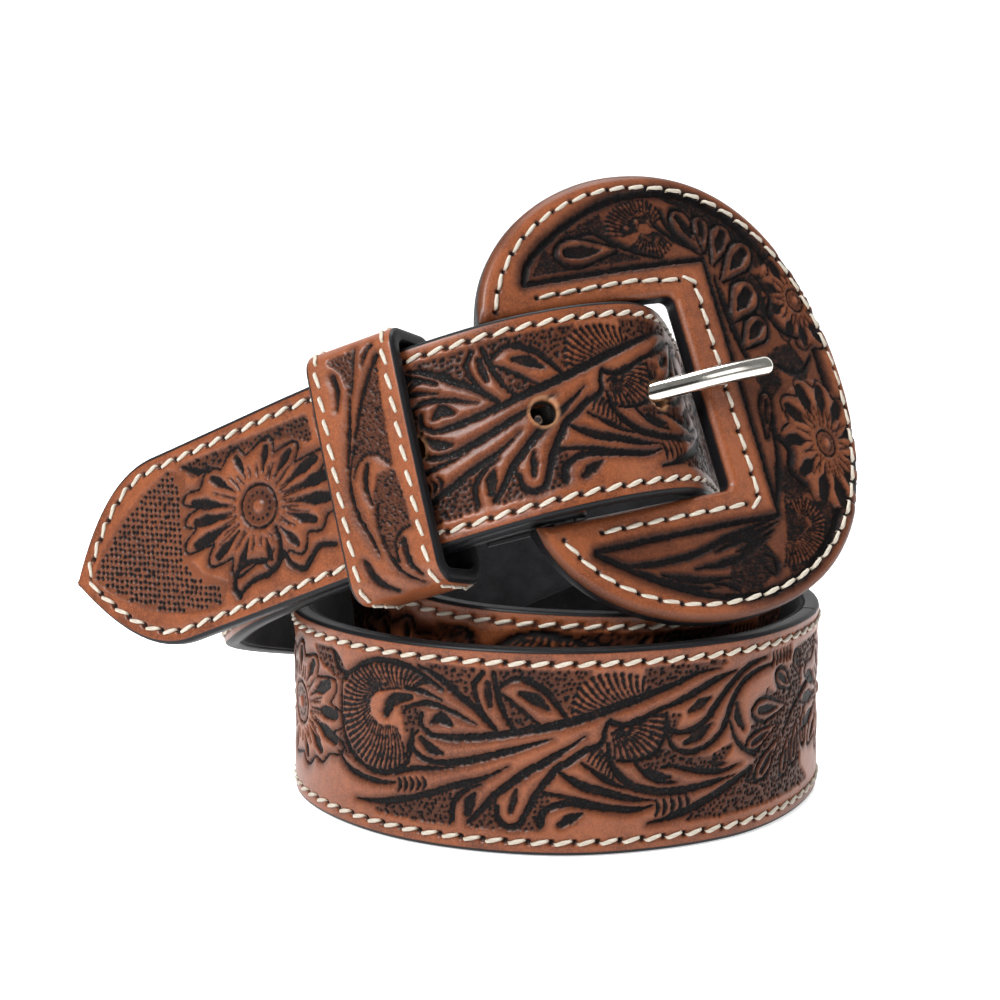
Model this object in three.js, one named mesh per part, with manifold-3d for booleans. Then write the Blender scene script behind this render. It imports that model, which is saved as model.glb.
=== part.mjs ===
// A tooled western leather belt, fastened and coiled in three turns: strap with folded buckle end,
// suede lining, leather-covered D buckle with bar and prong, and keeper. Millimetres, +Z up, front faces -Y.
import * as THREE from "three";
import Module from "manifold-3d";

const wasm = await Module();
wasm.setup();
const { Manifold } = wasm;

// strap
const strapWidth = 38.1; // one and a half inches
const leatherThickness = 3.0; // tooled leather
const liningThickness = 1.0; // suede backing
const layerGap = 0.3; // clearance between touching pieces
const liningInset = 0.5; // lining stops short of each edge
const edgeBevel = 0.7; // burnished corner
const skivedThickness = 2.1; // thinned end that folds round the bar
const coilRadius = 54; // outer face of the turn that stands on the floor

// holes in the free end
const holeSpacing = 25.4;
const holeDiameter = 5.0;
const firstHoleAlong = 0.5; // first open hole, along from the clasp frame's origin
const tipLength = 24; // pointed end, measured along the strap

// buckle
const buckleHalfHeight = 45;
const buckleLeft = 40.5; // opening's right edge to the straight heel side
const buckleRight = 40.5; // opening's right edge to the far end of the curve
const coverThickness = 5.2;
const openingHalfHeight = 19.8;
const openingDrop = 0.9; // the opening's middle below the plate's
const borderWidth = 8; // flat border round the opening
const rimWidth = 6; // plain rim outside the tooled field
const barDiameter = 3.6;
const barDepth = 4.9; // bar centre behind the cover's face
const barFromOpening = 33; // bar centre left of the opening's right edge
const barSocket = 4; // bar's end inside each arm of the cover
const heelShare = 0.36; // straight heel side, share of the half height
const roundness = 0.96; // below 1 the curve is fuller than an ellipse
const fieldSink = 0.8; // tooled field below the rim and the border
const fieldLeft = 29; // the field stops here, toward the heel
const buckleRise = 1.1; // the buckle sits this far above the strap's middle line

// prong
const prongDiameter = 4.0;
const prongWall = 1.6; // ring round the bar
const prongClearance = 0.34; // between the prong and the opening's right edge
const slotLength = 15; // slot for the prong in the folded end
const rodSides = 12; // flats round the prong and the punched holes

// keeper
const keeperWidth = 19;
const keeperThickness = 2.8;
const keeperRoomHigh = 43; // inside height
const keeperDrop = 1.0; // hangs this far below the strap's middle line
const keeperTurn = -2.5; // degrees, top toward the buckle
const keeperSlack = 3.2; // free room round the two layers it holds
const keeperFromHole = 32; // its middle from the first open hole, toward the tip

// The fastening lies in its own leaning frame: "along" runs to the right, "inward" away from the viewer and
// "across" up the strap's width. Its origin is on the free end's outer face.
const claspLean = 19; // degrees, top away from the viewer
const claspRoll = 15.5; // degrees, left end down
const claspOrigin = new THREE.Vector3(-3.8, -43.1, 79.7);

const radians = THREE.MathUtils.degToRad;

function acrossDirection(lean, roll) {
  const a = radians(lean);
  const b = radians(roll);
  return new THREE.Vector3(-Math.sin(b) * Math.cos(a), Math.sin(a), Math.cos(b) * Math.cos(a));
}

const across = acrossDirection(claspLean, claspRoll);
const along = new THREE.Vector3(Math.cos(radians(claspRoll)), 0, Math.sin(radians(claspRoll)));
const inward = new THREE.Vector3().crossVectors(across, along);

function claspPoint(u, w, v = 0) {
  return claspOrigin
    .clone()
    .addScaledVector(along, u)
    .addScaledVector(inward, w)
    .addScaledVector(across, v);
}

// Free end over the buckle, from the tip to the opening, to its outer face, as shares of the strap's width.
const freeEndRows = [
  { u: -2.62, w: 0.915 },
  { u: -2.35, w: 0.81 },
  { u: -2.08, w: 0.7 },
  { u: -1.61, w: 0.47 },
  { u: -1.14, w: 0.24 },
  { u: -0.645, w: 0.047 },
  { u: -0.13, w: -0.013 },
  { u: 0.13, w: 0.03 },
  { u: 0.37, w: 0.128 },
  { u: 0.575, w: 0.29 },
  { u: 0.685, w: 0.5 },
  { u: 0.75, w: 0.78 },
  { u: 0.795, w: 1.1 },
  { u: 0.85, w: 1.45 },
];

// Buckle end of the strap, from the skived end to where it leaves the free end, to its outer face; the fold
// round the bar comes between the two tables.
const foldBackRows = [
  { u: -0.43, w: 0.375 },
  { u: -0.25, w: 0.393 },
];
const chapeRows = [
  { u: -0.37, w: 0.145 },
  { u: -0.66, w: 0.192 },
  { u: -1.14, w: 0.37 },
  { u: -1.48, w: 0.565 },
  { u: -1.73, w: 0.76 },
  { u: -1.9, w: 1.0 },
];

// The coil, seen from above, clockwise from the buckle's chape; turn 0 is the front, radius is a share of the
// coil's radius to the strap's outer face, height a share of the strap's width to its middle line.
const coilRows = [
  { turn: 0.26, radius: 1.35, height: 1.16, lean: 19, roll: 15.5 },
  { turn: 0.32, radius: 1.27, height: 0.98, lean: 18, roll: 14 },
  { turn: 0.4, radius: 1.2, height: 0.84, lean: 14, roll: 10.5 },
  { turn: 0.5, radius: 1.13, height: 0.71, lean: 9, roll: 7 },
  { turn: 0.625, radius: 1.06, height: 0.575, lean: 3.5, roll: 2.5 },
  { turn: 0.75, radius: 1.01, height: 0.515, lean: 0.6, roll: 0.4 },
  { turn: 0.82, radius: 1, height: 0.5, lean: 0, roll: 0 },
  { turn: 0.9, radius: 1, height: 0.5, lean: 0, roll: 0 },
  { turn: 1, radius: 1, height: 0.5, lean: 0, roll: 0 },
  { turn: 1.1, radius: 1, height: 0.5, lean: 0, roll: 0 },
  { turn: 1.2, radius: 1.01, height: 0.5, lean: 0, roll: 0 },
  { turn: 1.3, radius: 0.985, height: 0.505, lean: 0, roll: 0 },
  { turn: 1.4, radius: 0.96, height: 0.52, lean: 0, roll: 0 },
  { turn: 1.5, radius: 0.93, height: 0.54, lean: 0, roll: 0 },
  { turn: 1.62, radius: 0.9, height: 0.555, lean: 0, roll: 0 },
  { turn: 1.75, radius: 0.87, height: 0.575, lean: 0, roll: 0 },
  { turn: 1.86, radius: 0.845, height: 0.6, lean: 0, roll: 0 },
  { turn: 1.97, radius: 0.82, height: 0.62, lean: 0, roll: 0 },
  { turn: 2.1, radius: 0.8, height: 0.665, lean: 0.5, roll: 0.5 },
  { turn: 2.25, radius: 0.775, height: 0.81, lean: 5, roll: 4 },
  { turn: 2.38, radius: 0.755, height: 1.06, lean: 10, roll: 8 },
  { turn: 2.5, radius: 0.73, height: 1.34, lean: 14, roll: 11.5 },
  { turn: 2.62, radius: 0.7, height: 1.68, lean: 17.5, roll: 14.5 },
];

// Prong: its centre line in the clasp frame, from the bar to the rounded end, as shares of the strap's width.
const prongRows = [
  { u: 0.02, w: 0.307, v: 0.02 },
  { u: 0.21, w: 0.312, v: 0.02 },
  { u: 0.38, w: 0.32, v: 0.022 },
  { u: 0.54, w: 0.333, v: 0.026 },
  { u: 0.7, w: 0.363, v: 0.032 },
  { u: 0.835, w: 0.407, v: 0.042 },
  { u: 0.97, w: 0.477, v: 0.055 },
  { u: 1.09, w: 0.56, v: 0.068 },
  { u: 1.19, w: 0.635, v: 0.08 },
];

// Value of one column of a table where another column reaches x.
function between(rows, column, x, value) {
  let i = 0;
  while (i < rows.length - 2 && rows[i + 1][column] < x) i += 1;
  const [a, b] = [rows[i], rows[i + 1]];
  const share = THREE.MathUtils.clamp((x - a[column]) / (b[column] - a[column]), 0, 1);
  return THREE.MathUtils.lerp(a[value], b[value], share);
}

// Buckle face in the clasp frame: direction of the face at shares of the plate's reach from the opening's
// right edge (minus is toward the heel), in degrees from "along" toward "inward".
const faceRows = [
  { reach: -1, turn: 17 },
  { reach: -0.37, turn: 21 },
  { reach: 0, turn: 27 },
  { reach: 0.3, turn: 35 },
  { reach: 0.62, turn: 43 },
  { reach: 1, turn: 53 },
];
const faceHeading = (s) => radians(between(faceRows, "reach", s / buckleRight, "turn"));

// The opening's right edge lies just behind the prong; its place along is a share of the strap's width.
const openingAlong = 0.8084;
const faceOrigin = {
  u: openingAlong * strapWidth,
  w:
    between(prongRows, "u", openingAlong, "w") * strapWidth +
    (prongDiameter / 2 + prongClearance) / Math.cos(faceHeading(0)),
};

// Direction, place and outward normal of the buckle's face at distance s from the opening's right edge.
function faceAt(s) {
  const steps = Math.max(1, Math.ceil(Math.abs(s)));
  let { u, w } = faceOrigin;
  for (let i = 0; i < steps; i += 1) {
    const heading = faceHeading((s * (i + 0.5)) / steps);
    u += (Math.cos(heading) * s) / steps;
    w += (Math.sin(heading) * s) / steps;
  }
  const heading = faceHeading(s);
  return { u, w, out: [Math.sin(heading), -Math.cos(heading)] };
}

// Point of the curved plate: s along its face, v across, n outward from the face.
function facePoint(s, v, n) {
  const { u, w, out } = faceAt(s);
  return claspPoint(u + n * out[0], w + n * out[1], v + buckleRise);
}

// Stations along a strap: a smooth curve through the rows, with a width direction at each.
function stations(rows, longest, sharpest) {
  const curve = new THREE.CatmullRomCurve3(rows.map((row) => row.point), false, "centripetal");
  const fine = 40 * (rows.length - 1);
  const list = [];
  let travelled = 0;
  let last = null;
  let previous = curve.getPoint(0);
  for (let i = 0; i <= fine; i += 1) {
    const t = i / fine;
    const point = curve.getPoint(t);
    const tangent = curve.getTangent(t).normalize();
    travelled += point.distanceTo(previous);
    previous = point;
    const far = last && travelled - last.at > longest;
    const bent = last && tangent.angleTo(last.tangent) > radians(sharpest);
    if (!last || far || bent || i === fine) {
      const place = Math.min(t * (rows.length - 1), rows.length - 1.0001);
      const k = Math.floor(place);
      const width = rows[k].width.clone().lerp(rows[k + 1].width, place - k);
      // Where the strap's edge is on the floor it stands upright on it.
      if (point.z < strapWidth / 2 + 0.12) {
        point.z = strapWidth / 2;
        tangent.setZ(0).normalize();
        width.set(0, 0, 1);
      }
      width.addScaledVector(tangent, -width.dot(tangent)).normalize();
      const out = new THREE.Vector3().crossVectors(width, tangent);
      last = { point, tangent, width, out, at: travelled };
      list.push(last);
    }
  }
  const length = list[list.length - 1].at;
  for (const station of list) station.toEnd = length - station.at;
  return list;
}

// Closed body swept through the stations; section(station) gives its corners as [across, outward] pairs.
function sweep(list, section) {
  const points = [];
  const faces = [];
  const shape = section(list[list.length >> 1]);
  const corners = shape.length;
  for (const station of list) {
    for (const [v, n] of section(station)) {
      points.push(
        station.point.clone().addScaledVector(station.width, v).addScaledVector(station.out, n)
      );
    }
  }
  // Every quad is split the same way across the strap, so that neighbouring layers stay parallel.
  for (let i = 0; i + 1 < list.length; i += 1) {
    for (let k = 0; k < corners; k += 1) {
      const next = (k + 1) % corners;
      const [a, b] = [i * corners + k, i * corners + next];
      const [c, d] = [a + corners, b + corners];
      if (shape[k][0] < shape[next][0]) faces.push([a, b, d], [a, d, c]);
      else faces.push([a, b, c], [b, d, c]);
    }
  }
  const end = (list.length - 1) * corners;
  for (let k = 1; k + 1 < corners; k += 1) {
    faces.push([0, k + 1, k], [end, end + k, end + k + 1]);
  }
  return body(points, faces);
}

// Manifold body from points and triangles, turned right side out.
function body(points, faces) {
  let volume = 0;
  for (const [a, b, c] of faces) {
    volume += points[a].dot(new THREE.Vector3().crossVectors(points[b], points[c]));
  }
  const turned = volume < 0 ? faces.map(([a, b, c]) => [a, c, b]) : faces;
  const mesh = new wasm.Mesh({
    numProp: 3,
    vertProperties: new Float32Array(points.flatMap((p) => [p.x, p.y, p.z])),
    triVerts: new Uint32Array(turned.flat()),
  });
  mesh.merge();
  return new Manifold(mesh);
}

function toMesh(solid, name, color, roughness, metalness) {
  const { vertProperties, triVerts, numProp } = solid.getMesh();
  const positions = new Float32Array((vertProperties.length / numProp) * 3);
  for (let i = 0; i < positions.length / 3; i += 1) {
    for (let k = 0; k < 3; k += 1) positions[3 * i + k] = vertProperties[numProp * i + k];
  }
  const geometry = new THREE.BufferGeometry();
  geometry.setAttribute("position", new THREE.BufferAttribute(positions, 3));
  geometry.setIndex(new THREE.BufferAttribute(new Uint32Array(triVerts), 1));
  geometry.computeVertexNormals();
  const material = new THREE.MeshStandardMaterial({ color, roughness, metalness });
  const mesh = new THREE.Mesh(geometry, material);
  mesh.name = name;
  return mesh;
}

// Path of the strap's outer face
const barFace = faceAt(-barFromOpening);
const bar = { u: barFace.u - barDepth * barFace.out[0], w: barFace.w - barDepth * barFace.out[1] };
const foldRadius = barDiameter / 2 + 2 * layerGap + skivedThickness;

const inClasp = ({ u, w, v = 0 }) => ({ point: claspPoint(u, w, v), width: across });
const scaled = ({ u, w, v = 0 }) =>
  inClasp({ u: u * strapWidth, w: w * strapWidth, v: v * strapWidth });
const onFold = (angle) =>
  inClasp({
    u: bar.u + foldRadius * Math.cos(radians(angle)),
    w: bar.w + foldRadius * Math.sin(radians(angle)),
  });
const onCoil = ({ turn, radius, height, lean, roll }) => {
  const angle = turn * 2 * Math.PI;
  const r = radius * coilRadius;
  return {
    point: new THREE.Vector3(-r * Math.sin(angle), -r * Math.cos(angle), height * strapWidth),
    width: acrossDirection(lean, roll),
  };
};

const foldAngles = [90, 60, 30, 0, -30, -60, -90];
const strapPath = stations(
  [
    ...foldBackRows.map(scaled),
    ...foldAngles.map(onFold),
    ...chapeRows.map(scaled),
    ...coilRows.map(onCoil),
    ...freeEndRows.map(scaled).reverse(),
  ],
  7,
  8
);
const foldEnd = foldBackRows[0].u * strapWidth;
const liningStart = strapPath.findIndex((station) => station.at > -2 * foldEnd + 4 * foldRadius);

function halfWidth(toEnd) {
  const share = THREE.MathUtils.clamp(1 - toEnd / tipLength, 0, 1);
  return (strapWidth / 2) * (1 - 0.97 * share ** 2.1);
}

function strapSection(station) {
  const half = halfWidth(station.toEnd);
  const bevel = Math.min(edgeBevel, half / 2);
  const skived = THREE.MathUtils.smoothstep(station.at, -foldEnd * 1.3, -foldEnd * 2.2);
  const thick = THREE.MathUtils.lerp(skivedThickness, leatherThickness, skived);
  return [
    [-half, -thick],
    [-half, -bevel],
    [-half + bevel, 0],
    [half - bevel, 0],
    [half, -bevel],
    [half, -thick],
  ];
}

function liningSection(station) {
  const half = Math.max(halfWidth(station.toEnd) - liningInset, 0.2);
  const top = -leatherThickness - layerGap;
  return [
    [-half, top - liningThickness],
    [-half, top],
    [half, top],
    [half, top - liningThickness],
  ];
}

const prongPath = stations(prongRows.map(scaled), 5, 6);

// Round rod along a path, with a rounded far end.
function rod(path, radius) {
  const length = path[path.length - 1].at;
  const straight = path.filter((station) => station.toEnd > radius * 1.2);
  const rounded = [0, 25, 48, 68, 84].map((degrees) => {
    const toEnd = radius * (1 - Math.sin(radians(degrees)));
    return { ...stationAt(path, length - toEnd), toEnd };
  });
  return sweep([...straight, ...rounded], (station) => {
    const share = THREE.MathUtils.clamp(1 - station.toEnd / radius, 0, 1);
    const r = radius * Math.sqrt(1 - share ** 2);
    return Array.from({ length: rodSides }, (_, k) => {
      const angle = (-k * 2 * Math.PI) / rodSides;
      return [r * Math.cos(angle), r * Math.sin(angle)];
    });
  });
}

// Placement in the clasp frame: x along, y inward, z across.
function claspBasis(u, w, v = 0) {
  const basis = new THREE.Matrix4().makeBasis(along, inward, across);
  return basis.setPosition(claspPoint(u, w, v)).elements;
}

function barPin(radius, length) {
  return Manifold.cylinder(length, radius, radius, 20, true).transform(
    claspBasis(bar.u, bar.w, buckleRise)
  );
}

function prongBody(radius, ringRadius, ringWidth) {
  return rod(prongPath, radius).add(barPin(ringRadius, ringWidth));
}

// Holes: round ones evenly spaced about the first open one, the third taken by the prong.
function nearest(path, point) {
  let best = { gap: Infinity };
  for (let i = 0; i + 1 < path.length; i += 1) {
    const [a, b] = [path[i], path[i + 1]];
    const line = new THREE.Line3(a.point, b.point);
    const share = line.closestPointToPointParameter(point, true);
    const gap = line.at(share, new THREE.Vector3()).distanceTo(point);
    if (gap < best.gap) best = { gap, at: a.at + share * (b.at - a.at) };
  }
  return best.at;
}

function stationAt(path, distance) {
  let i = 0;
  while (i < path.length - 2 && path[i + 1].at < distance) i += 1;
  const [a, b] = [path[i], path[i + 1]];
  const share = (distance - a.at) / (b.at - a.at);
  const point = a.point.clone().lerp(b.point, share);
  const width = a.width.clone().lerp(b.width, share).normalize();
  const out = a.out.clone().lerp(b.out, share).normalize();
  return { point, width, out };
}

function punch(distance) {
  const { point, width, out } = stationAt(strapPath, distance);
  const side = new THREE.Vector3().crossVectors(width, out).normalize();
  const basis = new THREE.Matrix4().makeBasis(side, width, out.clone()).setPosition(point);
  const r = holeDiameter / 2;
  return Manifold.cylinder(4 * leatherThickness, r, r, rodSides, true).transform(basis.elements);
}

const openHoleAt = nearest(strapPath.slice(strapPath.length / 2), claspPoint(firstHoleAlong, 0));
const punches = [1, 0, -2, -3].map((k) => punch(openHoleAt + k * holeSpacing));
const prongRing = barDiameter / 2 + layerGap + prongWall;
const prongSlot = Manifold.cube(
  [slotLength, 2 * foldRadius + 2 * leatherThickness, prongDiameter + 4 * layerGap],
  true
).transform(claspBasis(bar.u, bar.w, buckleRise));
const prongRoom = rod(prongPath, prongDiameter / 2 + layerGap);
const cuts = [...punches, prongSlot, prongRoom];

const strap = Manifold.difference([sweep(strapPath, strapSection), ...cuts]);
const lining = Manifold.difference([sweep(strapPath.slice(liningStart), liningSection), ...cuts]);

// Buckle cover: built flat, x along the face from the opening's right edge, y across, z outward, then bent.
function coverOutline(inset) {
  const half = buckleHalfHeight - inset;
  const right = buckleRight - inset;
  const left = -buckleLeft + inset;
  const middle = -buckleLeft * 0.135;
  const heel = half * heelShare;
  const points = [];
  for (let k = -12; k <= 12; k += 1) {
    const angle = (k / 12) * (Math.PI / 2);
    const [c, t] = [Math.cos(angle), Math.sin(angle)];
    points.push([middle + (right - middle) * c ** roundness, half * Math.sign(t) * Math.abs(t) ** roundness]);
  }
  for (let k = 1; k <= 5; k += 1) {
    const angle = (k / 5) * (Math.PI / 2) * 0.999;
    points.push([middle + (left - middle) * Math.sin(angle), heel + (half - heel) * Math.cos(angle)]);
  }
  for (let k = 5; k >= 1; k -= 1) {
    const angle = (k / 5) * (Math.PI / 2) * 0.999;
    points.push([middle + (left - middle) * Math.sin(angle), -heel - (half - heel) * Math.cos(angle)]);
  }
  return points;
}

function layer(inset, from, to) {
  return Manifold.extrude(coverOutline(inset), to - from).translate([0, 0, from]);
}

function boxBetween(low, high) {
  const size = high.map((x, k) => x - low[k]);
  return Manifold.cube(size).translate(low);
}

const plate = Manifold.hull([
  layer(0.9, -coverThickness, -coverThickness + 0.5),
  layer(0, -coverThickness + 1.3, -1.9),
  layer(0.5, -1.9, -0.9),
  layer(2, -0.5, 0),
]);
const borderHalf = openingHalfHeight + borderWidth;
const field = layer(rimWidth, -fieldSink, 1)
  .subtract(boxBetween([-buckleLeft - 1, -borderHalf, -2], [borderWidth, borderHalf, 2]))
  .subtract(boxBetween([-buckleLeft - 1, -buckleHalfHeight, -2], [-fieldLeft, buckleHalfHeight, 2]));
const opening = boxBetween(
  [-buckleLeft - 1, -openingHalfHeight - openingDrop, -coverThickness - 1],
  [0, openingHalfHeight - openingDrop, 2]
);
const acrossSqueeze = 0.18; // finer cuts along the bend than across it
const cover = plate
  .subtract(field)
  .subtract(opening)
  .scale([1, acrossSqueeze, 1])
  .refineToLength(5)
  .scale([1, 1 / acrossSqueeze, 1])
  .warp((p) => {
    const bent = facePoint(p[0], p[1], p[2]);
    [p[0], p[1], p[2]] = [bent.x, bent.y, bent.z];
  })
  .subtract(barPin(barDiameter / 2 + layerGap, 2 * (openingHalfHeight + barSocket + layerGap)));

const barBody = barPin(barDiameter / 2, 2 * (openingHalfHeight + barSocket));
const prong = prongBody(prongDiameter / 2, prongRing, prongDiameter + layerGap).subtract(
  barPin(barDiameter / 2 + layerGap, prongDiameter * 3)
);

// Keeper: a closed band round the free end and the chape.
function roundedRectangle(sizeIn, sizeAcross, radius) {
  const points = [];
  for (const [quarter, [cx, cy]] of [[1, 1], [-1, 1], [-1, -1], [1, -1]].entries()) {
    for (let k = 0; k <= 4; k += 1) {
      const angle = ((quarter + k / 4) * Math.PI) / 2;
      points.push([
        cx * (sizeIn / 2 - radius) + radius * Math.cos(angle),
        cy * (sizeAcross / 2 - radius) + radius * Math.sin(angle),
      ]);
    }
  }
  return points;
}

const strapStack = leatherThickness + layerGap + liningThickness;
const keeperRoomDeep = 2 * strapStack + keeperSlack;
function keeperBand(grow, extra) {
  const outline = roundedRectangle(keeperRoomDeep + 2 * grow, keeperRoomHigh + 2 * grow, 1.6 + grow);
  return Manifold.extrude(outline, keeperWidth + extra, 0, 0, [1, 1], true);
}
const keeperStation = stationAt(strapPath, openHoleAt + keeperFromHole);
const keeperAlong = new THREE.Vector3().crossVectors(keeperStation.out, keeperStation.width).normalize();
const keeperPlace = new THREE.Matrix4()
  .makeBasis(keeperStation.out, keeperStation.width, keeperAlong)
  .setPosition(
    keeperStation.point
      .clone()
      .addScaledVector(keeperStation.out, -strapStack - layerGap)
      .addScaledVector(keeperStation.width, -keeperDrop)
  );
const keeper = keeperBand(keeperThickness, 0)
  .subtract(keeperBand(0, 2))
  .rotate([keeperTurn, 0, 0])
  .transform(keeperPlace.elements);

const belt = new THREE.Group();
belt.name = "belt";
belt.add(
  toMesh(strap, "strap", 0x8a4b2c, 0.5, 0),
  toMesh(lining, "strap_lining", 0x17130f, 0.9, 0),
  toMesh(cover, "buckle_cover", 0x8a4b2c, 0.45, 0),
  toMesh(barBody, "buckle_bar", 0x8f9296, 0.4, 1),
  toMesh(prong, "prong", 0xd8d6cf, 0.15, 1),
  toMesh(keeper, "keeper", 0x8a4b2c, 0.5, 0)
);

// The belt stands on z = 0 with its bounding box centred over the origin.
const bounds = new THREE.Box3().setFromObject(belt);
const middle = bounds.getCenter(new THREE.Vector3());
belt.position.set(-middle.x, -middle.y, -bounds.min.z);

export default belt;
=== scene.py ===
import logging
import math
from dataclasses import dataclass, field
from enum import Enum

import bpy
import numpy as np
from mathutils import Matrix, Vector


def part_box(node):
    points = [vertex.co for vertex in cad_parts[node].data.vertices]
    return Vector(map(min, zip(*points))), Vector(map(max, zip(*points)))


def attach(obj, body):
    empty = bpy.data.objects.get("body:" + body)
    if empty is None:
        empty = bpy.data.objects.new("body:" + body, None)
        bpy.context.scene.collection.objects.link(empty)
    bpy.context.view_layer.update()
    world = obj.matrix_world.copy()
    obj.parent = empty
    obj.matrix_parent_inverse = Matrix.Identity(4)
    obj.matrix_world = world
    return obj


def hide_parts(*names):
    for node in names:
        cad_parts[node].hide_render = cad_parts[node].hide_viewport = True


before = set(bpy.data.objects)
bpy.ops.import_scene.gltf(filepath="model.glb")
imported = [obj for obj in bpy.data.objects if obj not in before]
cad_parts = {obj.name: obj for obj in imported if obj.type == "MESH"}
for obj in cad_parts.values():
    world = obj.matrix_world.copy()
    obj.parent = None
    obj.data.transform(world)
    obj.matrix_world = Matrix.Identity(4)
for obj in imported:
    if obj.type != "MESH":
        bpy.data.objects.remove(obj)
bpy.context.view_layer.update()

log = logging.getLogger("belt")
MM = 0.001
Row = tuple[float, ...]


# Shader nodes

class Signal:
    """Socket of a material's nodes; arithmetic on it adds Math nodes."""

    def __init__(self, shade: "Shade", socket: bpy.types.NodeSocket) -> None:
        """Wraps one output socket of a shade."""
        self.shade = shade
        self.socket = socket

    def _math(self, operation: str, first: "Signal | float", second: "Signal | float") -> "Signal":
        """Adds one Math node on two values."""
        return self.shade.signal("ShaderNodeMath", {"operation": operation}, {0: first, 1: second})

    def __add__(self, other: "Signal | float") -> "Signal":
        """Sum."""
        return self._math("ADD", self, other)

    def __radd__(self, other: float) -> "Signal":
        """Sum with a number in front."""
        return self._math("ADD", other, self)

    def __sub__(self, other: "Signal | float") -> "Signal":
        """Difference."""
        return self._math("SUBTRACT", self, other)

    def __rsub__(self, other: float) -> "Signal":
        """Difference from a number."""
        return self._math("SUBTRACT", other, self)

    def __mul__(self, other: "Signal | float") -> "Signal":
        """Product."""
        return self._math("MULTIPLY", self, other)

    def __rmul__(self, other: float) -> "Signal":
        """Product with a number in front."""
        return self._math("MULTIPLY", other, self)

    def clamped(self) -> "Signal":
        """The value held between 0 and 1."""
        return self.shade.signal("ShaderNodeClamp", {}, {"Value": self})

    def at_least(self, floor: "Signal | float") -> "Signal":
        """The larger of two values."""
        return self._math("MAXIMUM", self, floor)

    def stepped(self, low: float, high: float) -> "Signal":
        """Smooth step of the value from 0 at low to 1 at high."""
        values = {"Value": self, "From Min": low, "From Max": high}
        return self.shade.signal("ShaderNodeMapRange", {"interpolation_type": "SMOOTHSTEP"}, values)


class Shade:
    """Node tree of one material, built from expressions."""

    def __init__(self, name: str) -> None:
        """Starts an empty material with its output and Principled shader.

        Args:
            name: the material's name.
        """
        self.material = bpy.data.materials.new(name)
        self.material.use_nodes = True
        self.tree = self.material.node_tree
        self.tree.nodes.clear()
        self.shader = self.tree.nodes.new("ShaderNodeBsdfPrincipled")
        output = self.tree.nodes.new("ShaderNodeOutputMaterial")
        self.tree.links.new(self.shader.outputs[0], output.inputs[0])

    def node(self, kind: str, settings: dict, values: dict) -> bpy.types.Node:
        """Adds one node.

        Args:
            kind: the node's type.
            settings: its properties, set first; "stops" gives a ramp's places and colours.
            values: socket names or numbers with their values or links.

        Returns:
            The node.
        """
        made = self.tree.nodes.new(kind)
        for key, value in settings.items():
            if key == "stops":
                ramp = made.color_ramp
                while len(ramp.elements) < len(value):
                    ramp.elements.new(0.5)
                for element, (place, colour) in zip(ramp.elements, value):
                    element.position = place
                    element.color = (*colour, 1.0)
            else:
                setattr(made, key, value)
        self.feed(made, values)
        return made

    def feed(self, made: bpy.types.Node, values: dict) -> None:
        """Sets or links the sockets of a node."""
        for key, value in values.items():
            if isinstance(value, Signal):
                self.tree.links.new(value.socket, made.inputs[key])
            elif isinstance(value, tuple) and len(value) == 3 and made.inputs[key].type == "RGBA":
                made.inputs[key].default_value = (*value, 1.0)
            else:
                made.inputs[key].default_value = value

    def signal(self, kind: str, settings: dict, values: dict, output: int | str = 0) -> Signal:
        """Adds one node and wraps one of its outputs."""
        return Signal(self, self.node(kind, settings, values).outputs[output])

    def attribute(self, name: str) -> Signal:
        """A number kept on the mesh's points."""
        return self.signal("ShaderNodeAttribute", {"attribute_name": name}, {}, "Fac")

    def place(self) -> Signal:
        """The point's place on the object, in metres."""
        return self.signal("ShaderNodeTexCoord", {}, {}, "Object")

    def noise(self, scale: float, detail: float = 2.0, roughness: float = 0.5) -> Signal:
        """Cloudy noise over the object.

        Args:
            scale: clouds per metre.
            detail: octaves.
            roughness: strength of the finer octaves.

        Returns:
            Its value, about 0.5 on average.
        """
        values = {"Vector": self.place(), "Scale": scale, "Detail": detail, "Roughness": roughness}
        return self.signal("ShaderNodeTexNoise", {}, values)

    def cells(self, scale: float, feature: str = "F1") -> Signal:
        """Distance to scattered points, for pores and creases."""
        values = {"Vector": self.place(), "Scale": scale}
        return self.signal("ShaderNodeTexVoronoi", {"feature": feature}, values, "Distance")

    def blend(self, mask: Signal, low: "Signal | tuple", high: "Signal | tuple") -> Signal:
        """Colour that goes from low to high with the mask."""
        made = self.node("ShaderNodeMix", {"data_type": "RGBA"}, {})
        sockets = [s for s in made.inputs if s.type == "RGBA"]
        for socket, value in zip(sockets, (low, high)):
            if isinstance(value, Signal):
                self.tree.links.new(value.socket, socket)
            else:
                socket.default_value = (*value, 1.0)
        self.tree.links.new(mask.socket, made.inputs[0])
        return Signal(self, [s for s in made.outputs if s.type == "RGBA"][0])

    def bump(self, height: Signal, strength: float, distance: float) -> Signal:
        """Normal from a height in shares of the distance, in metres."""
        values = {"Height": height, "Strength": strength, "Distance": distance}
        return self.signal("ShaderNodeBump", {}, values)

    def finish(self, values: dict) -> bpy.types.Material:
        """Feeds the shader and returns the material."""
        self.feed(self.shader, values)
        return self.material


# Finishes

Colour = tuple[float, float, float]


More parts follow.
